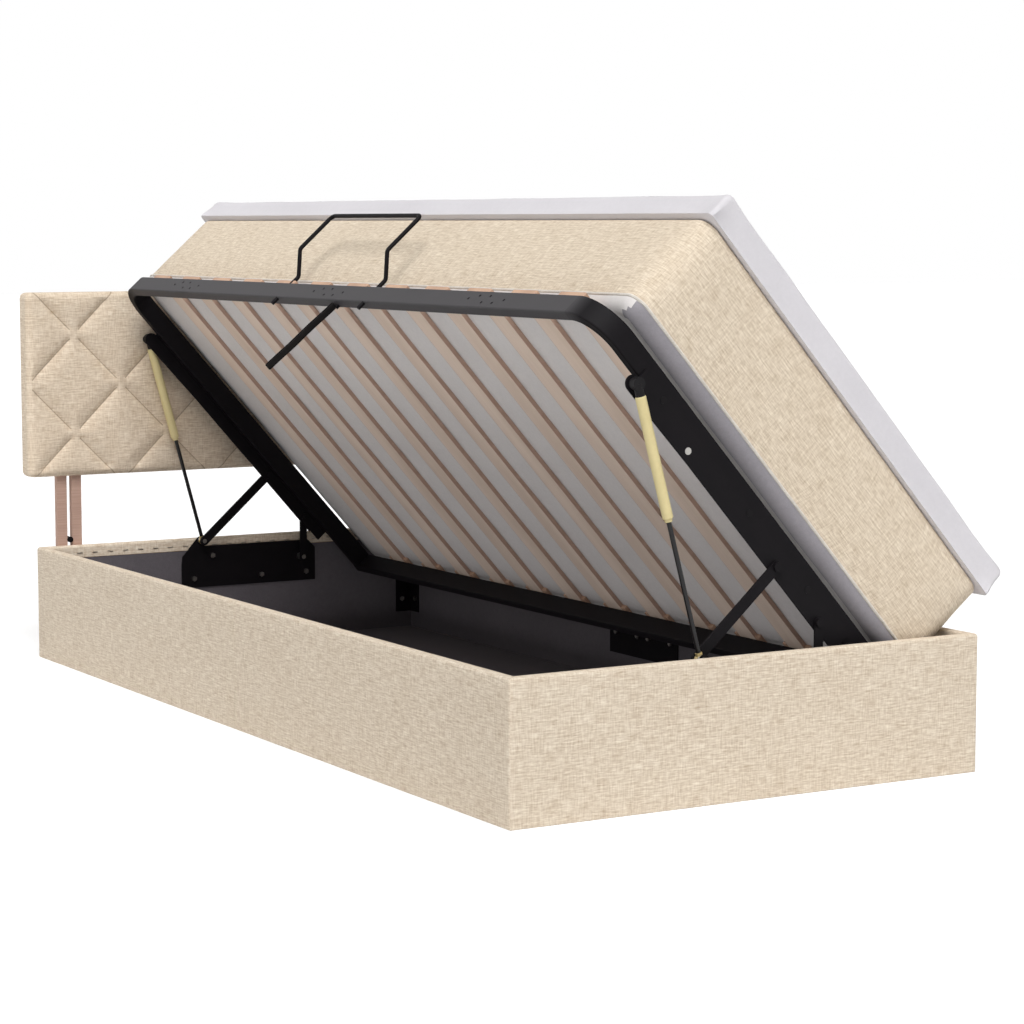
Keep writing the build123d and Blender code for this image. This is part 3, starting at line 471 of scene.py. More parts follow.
# %% Grey to black on the bent corners, as painted light
BLACK_FROM = 0.922
FADE = 0.030
elbow_paint_and_light = new_black("elbow_paint_and_light")
tree = elbow_paint_and_light.node_tree
along = value_of(tree, "ABSOLUTE", place_on(tree, 1))
painted_light_share = value_of(tree, "MULTIPLY_ADD", along, -1 / FADE, BLACK_FROM / FADE)
# The grey share is a painted reflection that fades out round the bend.
add_tone(elbow_paint_and_light, clamped(tree, painted_light_share), seen(64, 62, 64))
print("The corners turn black", BLACK_FROM, "m from the middle")

# %% [markdown]
# On each lift plate one bolt head is bare zinc and the others are blackened. They are one CAD node,
# so a mask on the distance along the lid leaves the zinc on that bolt, and makes the others black
# and no longer metal.

# %% The one bright bolt on each plate
LID_ORIGIN = (-0.2121, 0.0, 0.8254)
BRIGHT_BOLT = 0.259
BRIGHT_REACH = 0.015
tree = lid_bolt_zinc.node_tree
place = add_node(tree, "TexCoord").outputs["Object"]
from_origin = add_node(tree, "VectorMath", {0: place, 1: LID_ORIGIN}, operation="SUBTRACT").outputs[0]
across_lid = (math.cos(LID_TILT), 0, -math.sin(LID_TILT))
down_the_lid = add_node(tree, "VectorMath", {0: from_origin, 1: across_lid}, operation="DOT_PRODUCT")
is_bright = value_of(tree, "COMPARE", down_the_lid.outputs["Value"], BRIGHT_BOLT, BRIGHT_REACH)
add_tone(lid_bolt_zinc, value_of(tree, "SUBTRACT", 1.0, is_bright), seen(20, 18, 20))
tree.links.new(is_bright, tree.nodes["Principled BSDF"].inputs["Metallic"])
print("One bolt stays bright,", BRIGHT_BOLT, "m down the lid")


# %% [markdown]
# ### Give the CAD nodes their finishes
# A CAD node whose shape is right stays as it is, and only its material slots change.

# %% Finishes of the CAD nodes
def finish_node(name, look):
    """Puts one finish in every material slot of a CAD node."""
    slots = nodes[name].data.materials
    if not slots:
        slots.append(look)
    for number in range(len(slots)):
        slots[number] = look


looks = {
    "board_": chipboard,
    "headboard_board": chipboard,
    "headboard_leg": leg_wood,
    "floor_panel": hardboard,
    "corner_brackets": black_paint,
    "splice_plates": black_paint,
    "base_plate": black_paint,
    "long_arm": black_paint,
    "short_link": black_paint,
    "lift_plate": black_paint,
    "end_rail": black_paint,
    "hinge_rail": black_paint,
    "handle_hoop": black_paint,
    "strap_clip": black_paint,
    "stop_bolts": black_paint,
    "front_rail": grey_paint,
    "corner_elbow": elbow_paint_and_light,
    "box_bolts": zinc,
    "lid_bolts": lid_bolt_zinc,
    "leg_bolts": zinc,
    "pivot_pins": zinc,
    "lid_pivot_pins": black_paint,
    "strut_studs": black_plastic,
    "strut_rod": dark_rod,
    "strut_eye": gold_zinc,
    "strut_cylinder": cream_paint,
    "strut_socket": black_plastic,
    "slats_": birch,
    "slat_holders": holder_wood,
}
for name in nodes:
    for start, look in looks.items():
        if name.startswith(start):
            finish_node(name, look)
print("Finished", sum(name.startswith(tuple(looks)) for name in nodes), "CAD nodes")

# %% [markdown]
# ## Tools of the workbench
# A soft piece starts as a primitive that is added at its size and place, is shaped in edit mode,
# and ends with its place in its mesh. The helpers below say in one line each what a hand would do
# with the mouse.


# %% Choosing and adding pieces
def only(piece):
    """Deselects everything, then selects one piece and makes it the active one."""
    bpy.ops.object.select_all(action="DESELECT")
    piece.select_set(True)
    bpy.context.view_layer.objects.active = piece


def fix_place(piece, place=None):
    """Moves a piece to a place, if one is given, and puts its place in its mesh."""
    only(piece)
    if place is not None:
        piece.matrix_world = place
    bpy.ops.object.transform_apply(location=True, rotation=True, scale=True)


def new_block(name, low, high):
    """A box primitive between two corners."""
    bpy.ops.object.select_all(action="DESELECT")
    middle = [(a + b) / 2 for a, b in zip(low, high)]
    size = [b - a for a, b in zip(low, high)]
    bpy.ops.mesh.primitive_cube_add(size=1, location=middle, scale=size)
    piece = bpy.context.object
    piece.name = name
    fix_place(piece)
    return piece


# %% Choosing parts of a piece by their place
def pick(piece, kind, wanted):
    """Opens edit mode with the vertices, edges or faces selected that pass a test on their place."""
    only(piece)
    mesh = piece.data
    bpy.ops.object.mode_set(mode="EDIT")
    bpy.ops.mesh.select_mode(type=kind)
    bpy.ops.mesh.select_all(action="DESELECT")
    bpy.ops.object.mode_set(mode="OBJECT")
    if kind == "VERT":
        for point in mesh.vertices:
            point.select = wanted(point.co)
    elif kind == "EDGE":
        for edge in mesh.edges:
            edge.select = wanted(*(mesh.vertices[i].co for i in edge.vertices))
    else:
        for face in mesh.polygons:
            face.select = wanted(face.center, face.normal)
    bpy.ops.object.mode_set(mode="EDIT")


def pick_all(piece):
    """Opens edit mode with the whole piece selected."""
    only(piece)
    bpy.ops.object.mode_set(mode="EDIT")
    bpy.ops.mesh.select_all(action="SELECT")


def leave_edit():
    """Goes back to object mode."""
    bpy.ops.object.mode_set(mode="OBJECT")


# %% Bevels, cuts and modifiers
def bevel_edges(piece, wanted, width, segments):
    """Rounds the edges that pass a test."""
    pick(piece, "EDGE", wanted)
    bpy.ops.mesh.bevel(offset=width, offset_type="OFFSET", segments=segments, affect="EDGES")
    leave_edit()


def cut_across(piece, axis, places):
    """Bisects the whole piece at places along an axis, so that it can bend there."""
    only(piece)
    bpy.ops.object.mode_set(mode="EDIT")
    for place in places:
        at = [0.0, 0.0, 0.0]
        facing = [0.0, 0.0, 0.0]
        at[axis] = place
        facing[axis] = 1.0
        bpy.ops.mesh.select_all(action="SELECT")
        bpy.ops.mesh.bisect(plane_co=at, plane_no=facing)
    leave_edit()


def even_places(low, high, step):
    """Places between two ends, about one step apart."""
    count = max(1, round((high - low) / step))
    return [low + (high - low) * i / count for i in range(1, count)]


def use_modifier(piece, kind, **options):
    """Adds a modifier and applies it."""
    only(piece)
    modifier = piece.modifiers.new(kind.lower(), kind)
    for key, value in options.items():
        setattr(modifier, key, value)
    bpy.ops.object.modifier_apply(modifier=modifier.name)


# %% Smooth shading and cloth coordinates
def smooth(piece, angle=40):
    """Shades a piece smoothly across edges below an angle."""
    only(piece)
    bpy.ops.object.shade_smooth_by_angle(angle=math.radians(angle))


def lay_cloth(piece, rule):
    """Gives a piece its cloth coordinates in metres: u along the slubs and v across them."""
    mesh = piece.data
    while mesh.uv_layers:
        mesh.uv_layers.remove(mesh.uv_layers[0])
    layer = mesh.uv_layers.new(name="cloth")
    for face in mesh.polygons:
        for loop in face.loop_indices:
            layer.data[loop].uv = rule(mesh.vertices[mesh.loops[loop].vertex_index].co, face)


def face_outwards(piece):
    """Turns a piece's faces outwards."""
    pick_all(piece)
    bpy.ops.mesh.normals_make_consistent(inside=False)
    leave_edit()


# %% [markdown]
# ### The lid's own directions
# Everything on the lid is made lying flat, with X across the bed, Y along it and Z up through the
# mattress, and is then turned into the open lid's place. That is how the CAD part does it, so the
# two agree.

# %% The lid's place
LID_PLACE = Matrix.Translation(LID_ORIGIN) @ Matrix.Rotation(LID_TILT, 4, "Y")
print("The lid turns round", LID_ORIGIN, "by", round(math.degrees(LID_TILT), 1), "degrees")


# %% [markdown]
# ### Filling a cushion
# Foam and wadding push their cover out between the seams. A cloth simulation with a little air
# pressure and no weight gives that: seams are pinned, the rest swells, and no point may move
# further than a cap. The simulation is applied, so the mesh is a plain mesh again afterwards.

# %% Swelling by simulation
SWELL_STEPS = 20
SWELL_QUALITY = 4
STIFFNESS = 8.0


def swell(piece, pinned, pressure, cap):
    """Blows a piece up between its pinned points, and caps how far each point moves."""
    only(piece)
    mesh = piece.data
    before = [point.co.copy() for point in mesh.vertices]
    group = piece.vertex_groups.new(name="seams")
    group.add([point.index for point in mesh.vertices if pinned(point.co)], 1.0, "REPLACE")
    cloth = piece.modifiers.new("swell", "CLOTH")
    cloth.settings.quality = SWELL_QUALITY
    cloth.settings.use_pressure = True
    cloth.settings.uniform_pressure_force = pressure
    cloth.settings.vertex_group_mass = group.name
    cloth.settings.tension_stiffness = STIFFNESS
    cloth.settings.compression_stiffness = STIFFNESS
    cloth.settings.shear_stiffness = STIFFNESS / 2
    cloth.settings.effector_weights.gravity = 0.0
    cloth.point_cache.frame_start = 1
    cloth.point_cache.frame_end = SWELL_STEPS
    for step in range(1, SWELL_STEPS + 1):
        bpy.context.scene.frame_set(step)
    bpy.ops.object.modifier_apply(modifier=cloth.name)
    bpy.context.scene.frame_set(1)
    furthest = 0.0
    for point, old in zip(mesh.vertices, before):
        move = point.co - old
        if move.length > cap:
            point.co = old + move * (cap / move.length)
        furthest = max(furthest, (point.co - old).length)
    piece.vertex_groups.clear()
    return furthest


# %% [markdown]
# ## The box's cloth
# Each board is wrapped in linen that runs up the outside, over the rim and a little way down
# inside, where it is stapled. It is stretched cloth, so it follows the board. A strip is drawn up
# from the floor, turned over the rim by small extrusions, and mitred at the corners with a bisect,
# as an upholsterer would fold it.

# %% Sizes of the box
HALF_WIDTH = 0.465
HALF_LENGTH = 1.015
BOX_HEIGHT = 0.240
PANEL = 0.020
COVER_LIFT = 0.0008
COVER_THICKNESS = 0.002
FLAP_LOW = 0.214
RIM_ROUND = 0.006
RIM_STEPS = 5
ROWS_UP = (0.008, 0.05, 0.09, 0.13, 0.17, 0.205)
SIDE_SEAM = 0.0006
CLOTH_STEP = 0.035
CORNER_ROUND = 0.006
CORNER_STEPS = 4
QUARTER = math.radians(90)
TOUCH = 1e-6


def rim_profile():
    """Depth and height of the cloth's path, up the outside, over the rim and down inside."""
    path = [(0.0, row) for row in (COVER_LIFT, *ROWS_UP, BOX_HEIGHT - RIM_ROUND)]
    turns = [QUARTER * step / RIM_STEPS for step in range(RIM_STEPS + 1)]
    for turn in turns[1:]:
        height = BOX_HEIGHT - RIM_ROUND * (1 - math.sin(turn))
        path.append((RIM_ROUND * (1 - math.cos(turn)), height))
    for turn in turns:
        height = BOX_HEIGHT - RIM_ROUND * (1 - math.cos(turn))
        path.append((PANEL - RIM_ROUND * (1 - math.sin(turn)), height))
    path.append((PANEL, FLAP_LOW))
    return path


print("The cloth's path has", len(rim_profile()), "points")


# %% A straight strip of covered rim
def new_strip(name, half):
    """A strip along X from -half to half, whose outside is at y = 0 and whose inside is at y = PANEL."""
    path = rim_profile()
    bpy.ops.object.select_all(action="DESELECT")
    bpy.ops.mesh.primitive_plane_add(size=1)
    piece = bpy.context.object
    piece.name = name
    low, high = path[0], path[1]
    corners = [(-half, *low), (half, *low), (-half, *high), (half, *high)]
    for point, corner in zip(piece.data.vertices, corners):
        point.co = corner
    for before, after in zip(path[1:], path[2:]):
        pick(
            piece, "EDGE",
            lambda a, b: all(abs(p.y - before[0]) + abs(p.z - before[1]) < TOUCH for p in (a, b)),
        )
        step = (0.0, after[0] - before[0], after[1] - before[1])
        bpy.ops.mesh.extrude_region_move(TRANSFORM_OT_translate={"value": step})
        leave_edit()
    return piece


def cut_end(piece, at, facing):
    """Bisects a piece and throws away what lies beyond."""
    pick_all(piece)
    bpy.ops.mesh.bisect(plane_co=at, plane_no=facing, clear_outer=True)
    leave_edit()


def round_corner(point):
    """Draws a point of the box's square corner in onto a quarter circle."""
    x = abs(point.x) - (HALF_WIDTH - CORNER_ROUND)
    y = abs(point.y) - (HALF_LENGTH - CORNER_ROUND)
    if x > 0 and y > 0:
        share = max(x, y) / math.hypot(x, y)
        point.x = math.copysign(HALF_WIDTH - CORNER_ROUND + x * share, point.x)
        point.y = math.copysign(HALF_LENGTH - CORNER_ROUND + y * share, point.y)


# %% [markdown]
# The weave has to stay level round the bed, and to run on over the rim. So the cloth coordinates
# are the length along the board and the length of the path up and over it.

# %% Covers of the six boards
ripples = bpy.data.textures.new("cloth_ripples", "CLOUDS")
ripples.noise_scale = 0.16
ripples.noise_depth = 1


def ripple(piece, strength, middle, direction):
    """Moves a piece's surface in and out a little, as cloth lies."""
    use_modifier(
        piece, "DISPLACE", texture=ripples, texture_coords="LOCAL",
        strength=strength, mid_level=middle, direction=direction,
    )


def cover_rule(point, face):
    """Along the board, and up the outside, over the rim and down inside."""
    over = point.y if face.normal.y < 0.7 or point.y < PANEL / 2 else PANEL + (BOX_HEIGHT - point.z)
    up = point.z if face.normal.y < 0.7 else BOX_HEIGHT
    return (point.x, up + over)


def new_cover(node, half, left_cut, right_cut, turn, shift, flat, board):
    """A board's cover, made lying along X and then turned into its place."""
    piece = new_strip("cloth_" + node, half)
    for at, facing in (left_cut, right_cut):
        cut_end(piece, at, facing)
    points = [point.co for point in piece.data.vertices]
    cut_across(piece, 0, even_places(min(p.x for p in points), max(p.x for p in points), CLOTH_STEP))
    near_corner = [half - CORNER_ROUND * step / CORNER_STEPS for step in range(1, CORNER_STEPS + 1)]
    cut_across(piece, 0, near_corner + [-place for place in near_corner])
    face_outwards(piece)
    lowest = min(piece.data.polygons, key=lambda face: face.center.z)
    if lowest.normal.y > 0:
        pick_all(piece)
        bpy.ops.mesh.flip_normals()
        leave_edit()
    lay_cloth(piece, cover_rule)
    use_modifier(piece, "SOLIDIFY", thickness=COVER_THICKNESS, offset=-1.0, use_even_offset=True)
    ripple(piece, 0.0012, 0.62, "Y")
    fix_place(piece, Matrix.Translation(shift) @ Matrix.Rotation(turn, 4, "Z"))
    for point in piece.data.vertices:
        round_corner(point.co)
    smooth(piece, 35)
    piece.data.materials.append(box_linen)
    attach(piece, "box")
    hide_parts(node)
    return piece


GIRTH = BOX_HEIGHT - COVER_LIFT + PANEL + BOX_HEIGHT - FLAP_LOW
MITRE = math.sqrt(0.5)
long_flat = (GIRTH, HALF_LENGTH)
end_flat = (GIRTH, 2 * HALF_WIDTH)
left_end = ((-HALF_WIDTH, 0, 0), (-MITRE, MITRE, 0))
right_end = ((HALF_WIDTH, 0, 0), (MITRE, MITRE, 0))
left_corner = ((-HALF_LENGTH, 0, 0), (-MITRE, MITRE, 0))
right_corner = ((HALF_LENGTH, 0, 0), (MITRE, MITRE, 0))
left_seam = ((SIDE_SEAM, 0, 0), (-1, 0, 0))
right_seam = ((-SIDE_SEAM, 0, 0), (1, 0, 0))
sides = {
    "foot": (HALF_WIDTH, left_end, right_end, 0, (0, -HALF_LENGTH, 0), end_flat),
    "head": (HALF_WIDTH, left_end, right_end, 2 * QUARTER, (0, HALF_LENGTH, 0), end_flat),
    "front_foot": (HALF_LENGTH, left_seam, right_corner, -QUARTER, (-HALF_WIDTH, 0, 0), long_flat),
    "front_head": (HALF_LENGTH, left_corner, right_seam, -QUARTER, (-HALF_WIDTH, 0, 0), long_flat),
    "hinge_foot": (HALF_LENGTH, left_corner, right_seam, QUARTER, (HALF_WIDTH, 0, 0), long_flat),
    "hinge_head": (HALF_LENGTH, left_seam, right_corner, QUARTER, (HALF_WIDTH, 0, 0), long_flat),
}
covers = [new_cover("cover_" + side, *made, "board_" + side) for side, made in sides.items()]
print("Covers:", [len(piece.data.polygons) for piece in covers])

# %% [markdown]
# ### Staples
# The flap inside the rim is held by wide staples. One is modelled, from a flat box with bevelled
# edges, and copied along the four walls, a little askew as a staple gun leaves them.

# %% Staples on the flap
STAPLE_WIDTH = 0.012
STAPLE_WIRE = 0.0014
STAPLE_STEP = 0.035
STAPLE_HEIGHT = 0.224
STAPLE_ASKEW = 7
END_SWING = 2.4
SIDE_SWING = 1.7
INNER_X = HALF_WIDTH - PANEL
INNER_Y = HALF_LENGTH - PANEL

half_wire = STAPLE_WIRE / 2
half_staple = Vector((STAPLE_WIDTH / 2, half_wire, half_wire))
first_staple = new_block("staples", -half_staple, half_staple)
bevel_edges(first_staple, lambda a, b: abs(a.x - b.x) > STAPLE_WIDTH / 2, STAPLE_WIRE / 4, 1)


def copy_staple(place, turn, askew):
    """A copy of the staple with its own mesh, at a place on a wall."""
    copy = first_staple.copy()
    copy.data = first_staple.data.copy()
    bpy.context.collection.objects.link(copy)
    turned = Matrix.Rotation(turn, 4, "Z") @ Matrix.Rotation(askew, 4, "Y")
    copy.matrix_world = Matrix.Translation(place) @ turned
    return copy


staples = []
for wall in (-1, 1):
    for number, x in enumerate(even_places(-INNER_X, INNER_X, STAPLE_STEP)):
        askew = math.radians(STAPLE_ASKEW * math.sin(END_SWING * number + wall))
        staples.append(copy_staple((x, wall * (INNER_Y - half_wire), STAPLE_HEIGHT), 0, askew))
    for number, y in enumerate(even_places(-INNER_Y, INNER_Y, STAPLE_STEP)):
        askew = math.radians(STAPLE_ASKEW * math.sin(SIDE_SWING * number + wall))
        staples.append(copy_staple((wall * (INNER_X - half_wire), y, STAPLE_HEIGHT), QUARTER, askew))
only(first_staple)
bpy.ops.object.delete()
bpy.ops.object.select_all(action="DESELECT")
for staple in staples:
    staple.select_set(True)
bpy.context.view_layer.objects.active = staples[0]
bpy.ops.object.transform_apply(location=True, rotation=True, scale=True)
bpy.ops.object.join()
staple_row = bpy.context.object
staple_row.name = "staples"
staple_row.data.materials.append(steel_wire)
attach(staple_row, "box")
print("Staples:", len(staples))

# %% [markdown]
# ## The black lining
# The floor of the box and its walls are lined with thin black nonwoven. The floor cloth is one laid
# sheet with faint ripples, and the wall cloth runs round below the flap.

# %% Floor cloth
LINING_LOW = 0.003
LINING_TOP = 0.004
FLOOR_STEP = 0.05
floor_low = (-INNER_X, -INNER_Y, LINING_LOW)
floor_cloth = new_block("floor_lining", floor_low, (INNER_X, INNER_Y, LINING_TOP))
cut_across(floor_cloth, 0, even_places(-INNER_X, INNER_X, FLOOR_STEP))
cut_across(floor_cloth, 1, even_places(-INNER_Y, INNER_Y, FLOOR_STEP))
ripple(floor_cloth, 0.002, 0.35, "Z")
smooth(floor_cloth)
floor_cloth.data.materials.append(black_lining)
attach(floor_cloth, "box")
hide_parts("liner_floor")
print("Floor cloth:", len(floor_cloth.data.polygons), "faces")

# %% Wall cloth
LINING_HIGH = 0.213
WALL_CLOTH = 0.001
WALL_STEP = 0.08
WALL_ROWS = (0.06, 0.12, 0.18)
wall_cloth = new_block(
    "wall_lining_cloth",
    (-INNER_X - WALL_CLOTH, -INNER_Y - WALL_CLOTH, LINING_TOP),
    (INNER_X + WALL_CLOTH, INNER_Y + WALL_CLOTH, LINING_HIGH),
)
pick(wall_cloth, "FACE", lambda centre, normal: abs(normal.z) > 0.5)
bpy.ops.mesh.delete(type="FACE")
leave_edit()
cut_across(wall_cloth, 0, even_places(-INNER_X, INNER_X, WALL_STEP))
cut_across(wall_cloth, 1, even_places(-INNER_Y, INNER_Y, WALL_STEP))
cut_across(wall_cloth, 2, WALL_ROWS)
use_modifier(wall_cloth, "SOLIDIFY", thickness=WALL_CLOTH, offset=-1.0, use_even_offset=True)
smooth(wall_cloth)
wall_cloth.data.materials.append(black_lining)
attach(wall_cloth, "box")
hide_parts("wall_lining")

# %% [markdown]
# ## The mattress
# Three soft pieces make it: the linen border with its top, the grey underside that rests on the
# slats, and the piping sewn between them. Its upright corners are rounded, its sides stand a little
# proud between the seams, and the underside presses down softly between the slats.

# %% Sizes of the mattress
MATTRESS_WIDTH = 0.860
MATTRESS_HALF = 0.983
MATTRESS_HEIGHT = 0.183
MATTRESS_DROP = 0.028
MATTRESS_CORNER = 0.030
MATTRESS_EDGE = 0.008
LOW_SEAM = 0.002
TOP_SEAM = 0.009
SOFT_STEP = 0.045
SIDE_STEP = 0.03
HAIR = 1e-4


def runs_along(a, b, axis):
    """True for an edge that runs mostly along an axis, 0 for X to 2 for Z."""
    return abs(a[axis] - b[axis]) > 0.8 * (a - b).length


def upright(a, b):
    """True for an edge that stands upright."""
    return runs_along(a, b, 2)


def round_the_side(point, face):
    """Cloth that runs round the mattress's sides without a break, and straight over its top."""
    if abs(face.normal.z) > 0.7:
        return (point.y, point.x)
    turn = 1 if point.y > 0 else -1
    if point.x < MATTRESS_WIDTH / 2:
        return (point.y + turn * point.x, point.z)
    return (turn * (point.x + 2 * MATTRESS_HALF) - point.y, point.z)


# %% The border
border = new_block(
    "mattress_side_cloth", (0, -MATTRESS_HALF, 0), (MATTRESS_WIDTH, MATTRESS_HALF, MATTRESS_HEIGHT)
)
bevel_edges(border, upright, MATTRESS_CORNER, 6)
bevel_edges(border, lambda a, b: min(a.z, b.z) > MATTRESS_HEIGHT - HAIR, MATTRESS_EDGE, 3)
cut_across(border, 0, even_places(0, MATTRESS_WIDTH, SOFT_STEP))
cut_across(border, 1, even_places(-MATTRESS_HALF, MATTRESS_HALF, SOFT_STEP))
cut_across(border, 2, even_places(0, MATTRESS_HEIGHT, SIDE_STEP))
border_rise = swell(
    border, lambda p: p.z < LOW_SEAM or p.z > MATTRESS_HEIGHT - TOP_SEAM, pressure=5.0, cap=0.007
)
lay_cloth(border, round_the_side)
smooth(border, 50)
fix_place(border, LID_PLACE)
border.data.materials.append(mattress_linen)
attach(border, "lid")
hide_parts("mattress_border")
print("Border swells by", round(border_rise * 1000, 1), "mm")

# %% The underside
SLAT_COUNT = 12
SLAT_LAST = SLAT_FIRST + (SLAT_COUNT - 1) * SLAT_PITCH
UNDER_EDGE = 0.024
SAG_BETWEEN = 0.0035
SAG_START = 0.35
SAG_INSET = 0.06
SHADE_BAND_WIDTH = 0.036
SHADE_BAND_START = 0.012
underside = new_block(
    "mattress_under_cloth", (0, -MATTRESS_HALF, -MATTRESS_DROP), (MATTRESS_WIDTH, MATTRESS_HALF, 0)
)
bevel_edges(underside, upright, MATTRESS_CORNER, 6)
bevel_edges(underside, lambda a, b: max(a.z, b.z) < -MATTRESS_DROP + HAIR, UNDER_EDGE, 5)
cut_across(underside, 0, even_places(0, MATTRESS_WIDTH, SOFT_STEP))
half_pitch = SLAT_PITCH / 2
cut_across(underside, 1, even_places(SLAT_FIRST - half_pitch, SLAT_LAST + half_pitch, SLAT_PITCH / 6))
for point in underside.data.vertices:
    on_bottom = point.co.z < -MATTRESS_DROP + HAIR
    inset = SAG_INSET < point.co.x < MATTRESS_WIDTH - SAG_INSET
    if on_bottom and inset and SLAT_FIRST < point.co.y < SLAT_LAST:
        from_slat = (point.co.y - SLAT_FIRST) / SLAT_PITCH % 1
        point.co.z -= SAG_BETWEEN * max(0.0, math.sin(math.pi * from_slat) - SAG_START)
ripple(underside, 0.003, 0.3, "Z")
smooth(underside, 50)
underside.data.materials.append(mattress_grey)
underside.data.materials.append(mattress_shade_band)
# The rounded band at both ends, away from the front, gets the darker grey as painted shade, where the
# band turns down beside the frame.
for face in underside.data.polygons:
    at_end = MATTRESS_HALF - abs(face.center.y) < SHADE_BAND_WIDTH
    face.material_index = 1 if at_end and face.center.x > SHADE_BAND_START else 0
fix_place(underside, LID_PLACE)
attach(underside, "lid")
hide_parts("mattress_underside")
print("Underside:", len(underside.data.polygons), "faces")

# %% [markdown]
# ### Piping
# A thin corded tape covers the seam. Its path is the mattress's outline, taken from a rounded plane
# whose middle is thrown away, and turned into a round curve.

# %% The piping
PIPING_RADIUS = 0.0028
bpy.ops.object.select_all(action="DESELECT")
bpy.ops.mesh.primitive_plane_add(size=1, location=(MATTRESS_WIDTH / 2, 0, 0))
piping = bpy.context.object
piping.name = "mattress_seam_piping"
piping.scale = (MATTRESS_WIDTH, 2 * MATTRESS_HALF, 1)
fix_place(piping)
pick(piping, "VERT", lambda p: True)
bpy.ops.mesh.bevel(offset=MATTRESS_CORNER, segments=8, affect="VERTICES")
bpy.ops.mesh.select_all(action="SELECT")
bpy.ops.mesh.delete(type="ONLY_FACE")
leave_edit()
bpy.ops.object.convert(target="CURVE")
piping.data.bevel_depth = PIPING_RADIUS
piping.data.bevel_resolution = 2
bpy.ops.object.convert(target="MESH")
smooth(piping)
lay_cloth(piping, lambda point, face: (point.y + point.x, point.z))
fix_place(piping, LID_PLACE)
piping.data.materials.append(piping_tape)
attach(piping, "lid")
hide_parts("mattress_piping")
print("Piping:", len(piping.data.polygons), "faces")

# %% [markdown]
# ## The topper
# A loose foam pad lies on the mattress and overhangs it a little on every side. Its edges are crisp
# but soft, and its top swells a little. Its underside is pinned, and stays flat on the mattress.

# %% The topper
OVERHANG = 0.012
TOPPER_TOP = 0.239
TOPPER_LIFT = 0.0004
TOPPER_CORNER = 0.013
TOPPER_EDGE = 0.012
TOPPER_LOW_EDGE = 0.006
TOPPER_ROWS = (0.02, 0.032)
topper = new_block(
    "topper_pad",
    (-OVERHANG, -MATTRESS_HALF - OVERHANG, MATTRESS_HEIGHT + TOPPER_LIFT),
    (MATTRESS_WIDTH + OVERHANG, MATTRESS_HALF + OVERHANG, TOPPER_TOP),
)
bevel_edges(topper, upright, TOPPER_CORNER, 4)
bevel_edges(topper, lambda a, b: min(a.z, b.z) > TOPPER_TOP - HAIR, TOPPER_EDGE, 4)
topper_low = MATTRESS_HEIGHT + TOPPER_LIFT
bevel_edges(topper, lambda a, b: max(a.z, b.z) < topper_low + HAIR, TOPPER_LOW_EDGE, 3)
cut_across(topper, 0, even_places(0, MATTRESS_WIDTH, SOFT_STEP))
cut_across(topper, 1, even_places(-MATTRESS_HALF, MATTRESS_HALF, SOFT_STEP))
cut_across(topper, 2, [MATTRESS_HEIGHT + row for row in TOPPER_ROWS])
topper_rise = swell(topper, lambda p: p.z < MATTRESS_HEIGHT + LOW_SEAM, pressure=3.0, cap=0.006)
ripple(topper, 0.002, 0.5, "NORMAL")
smooth(topper, 60)
fix_place(topper, LID_PLACE)
topper.data.materials.append(topper_cloth)
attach(topper, "lid")
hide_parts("topper")
print("Topper swells by", round(topper_rise * 1000, 1), "mm")

# %% [markdown]
# ## The quilted headboard
# The pad's front is drawn in along diagonal lines that make diamonds, and each line stops short of
# the crossings, where the cloth stays full. The mesh is cut into small squares whose diagonals lie
# on the lines, the lines are joined across the squares, and a simulation fills the diamonds while
# the lines stay pinned.

# %% The headboard's grid
BOARD_HALF = 0.484
BOARD_LOW = 0.392
BOARD_HIGH = 0.790
BOARD_FRONT = 1.000
BOARD_BACK = 1.045
DIAMONDS = 9
CUTS = 18
DIAMOND = 2 * BOARD_HALF / DIAMONDS
MIDDLE_ROW = 0.592
SQUARE = DIAMOND / CUTS
PAD_CORNER = 0.012
PAD_FRONT_EDGE = 0.011
PAD_BACK_EDGE = 0.004
PAD_ROWS = (1.02, 1.033)
pad_low = (-BOARD_HALF, BOARD_FRONT, BOARD_LOW)
pad = new_block("headboard_quilt", pad_low, (BOARD_HALF, BOARD_BACK, BOARD_HIGH))
bevel_edges(pad, lambda a, b: runs_along(a, b, 1), PAD_CORNER, 3)
bevel_edges(pad, lambda a, b: max(a.y, b.y) < BOARD_FRONT + HAIR, PAD_FRONT_EDGE, 3)
bevel_edges(pad, lambda a, b: min(a.y, b.y) > BOARD_BACK - HAIR, PAD_BACK_EDGE, 2)
cut_across(pad, 0, [-BOARD_HALF + SQUARE * i for i in range(2, DIAMONDS * CUTS - 1)])
row_count = int((MIDDLE_ROW - BOARD_LOW) / SQUARE)
cut_across(pad, 2, [MIDDLE_ROW + SQUARE * j for j in range(-row_count + 1, row_count)])
cut_across(pad, 1, PAD_ROWS)
print("Grid:", len(pad.data.vertices), "points of", round(SQUARE * 1000, 2), "mm squares")

# %% The quilting lines
LINE_BREAK = 0.014
EDGE_BREAK = 0.014
LINE_DEPTH = 0.0050
THREAD = 0.0013
LINE_REACH = SQUARE * 0.2
FRONT_REACH = 0.004
END_FADE = 0.012
EDGE_FADE_START = 0.008
VALLEY = ((0.88, 0.0030), (0.12, 0.012))
BELLY = 0.002
BELLY_WIDTH = 0.02
BELLY_EDGE = 0.03


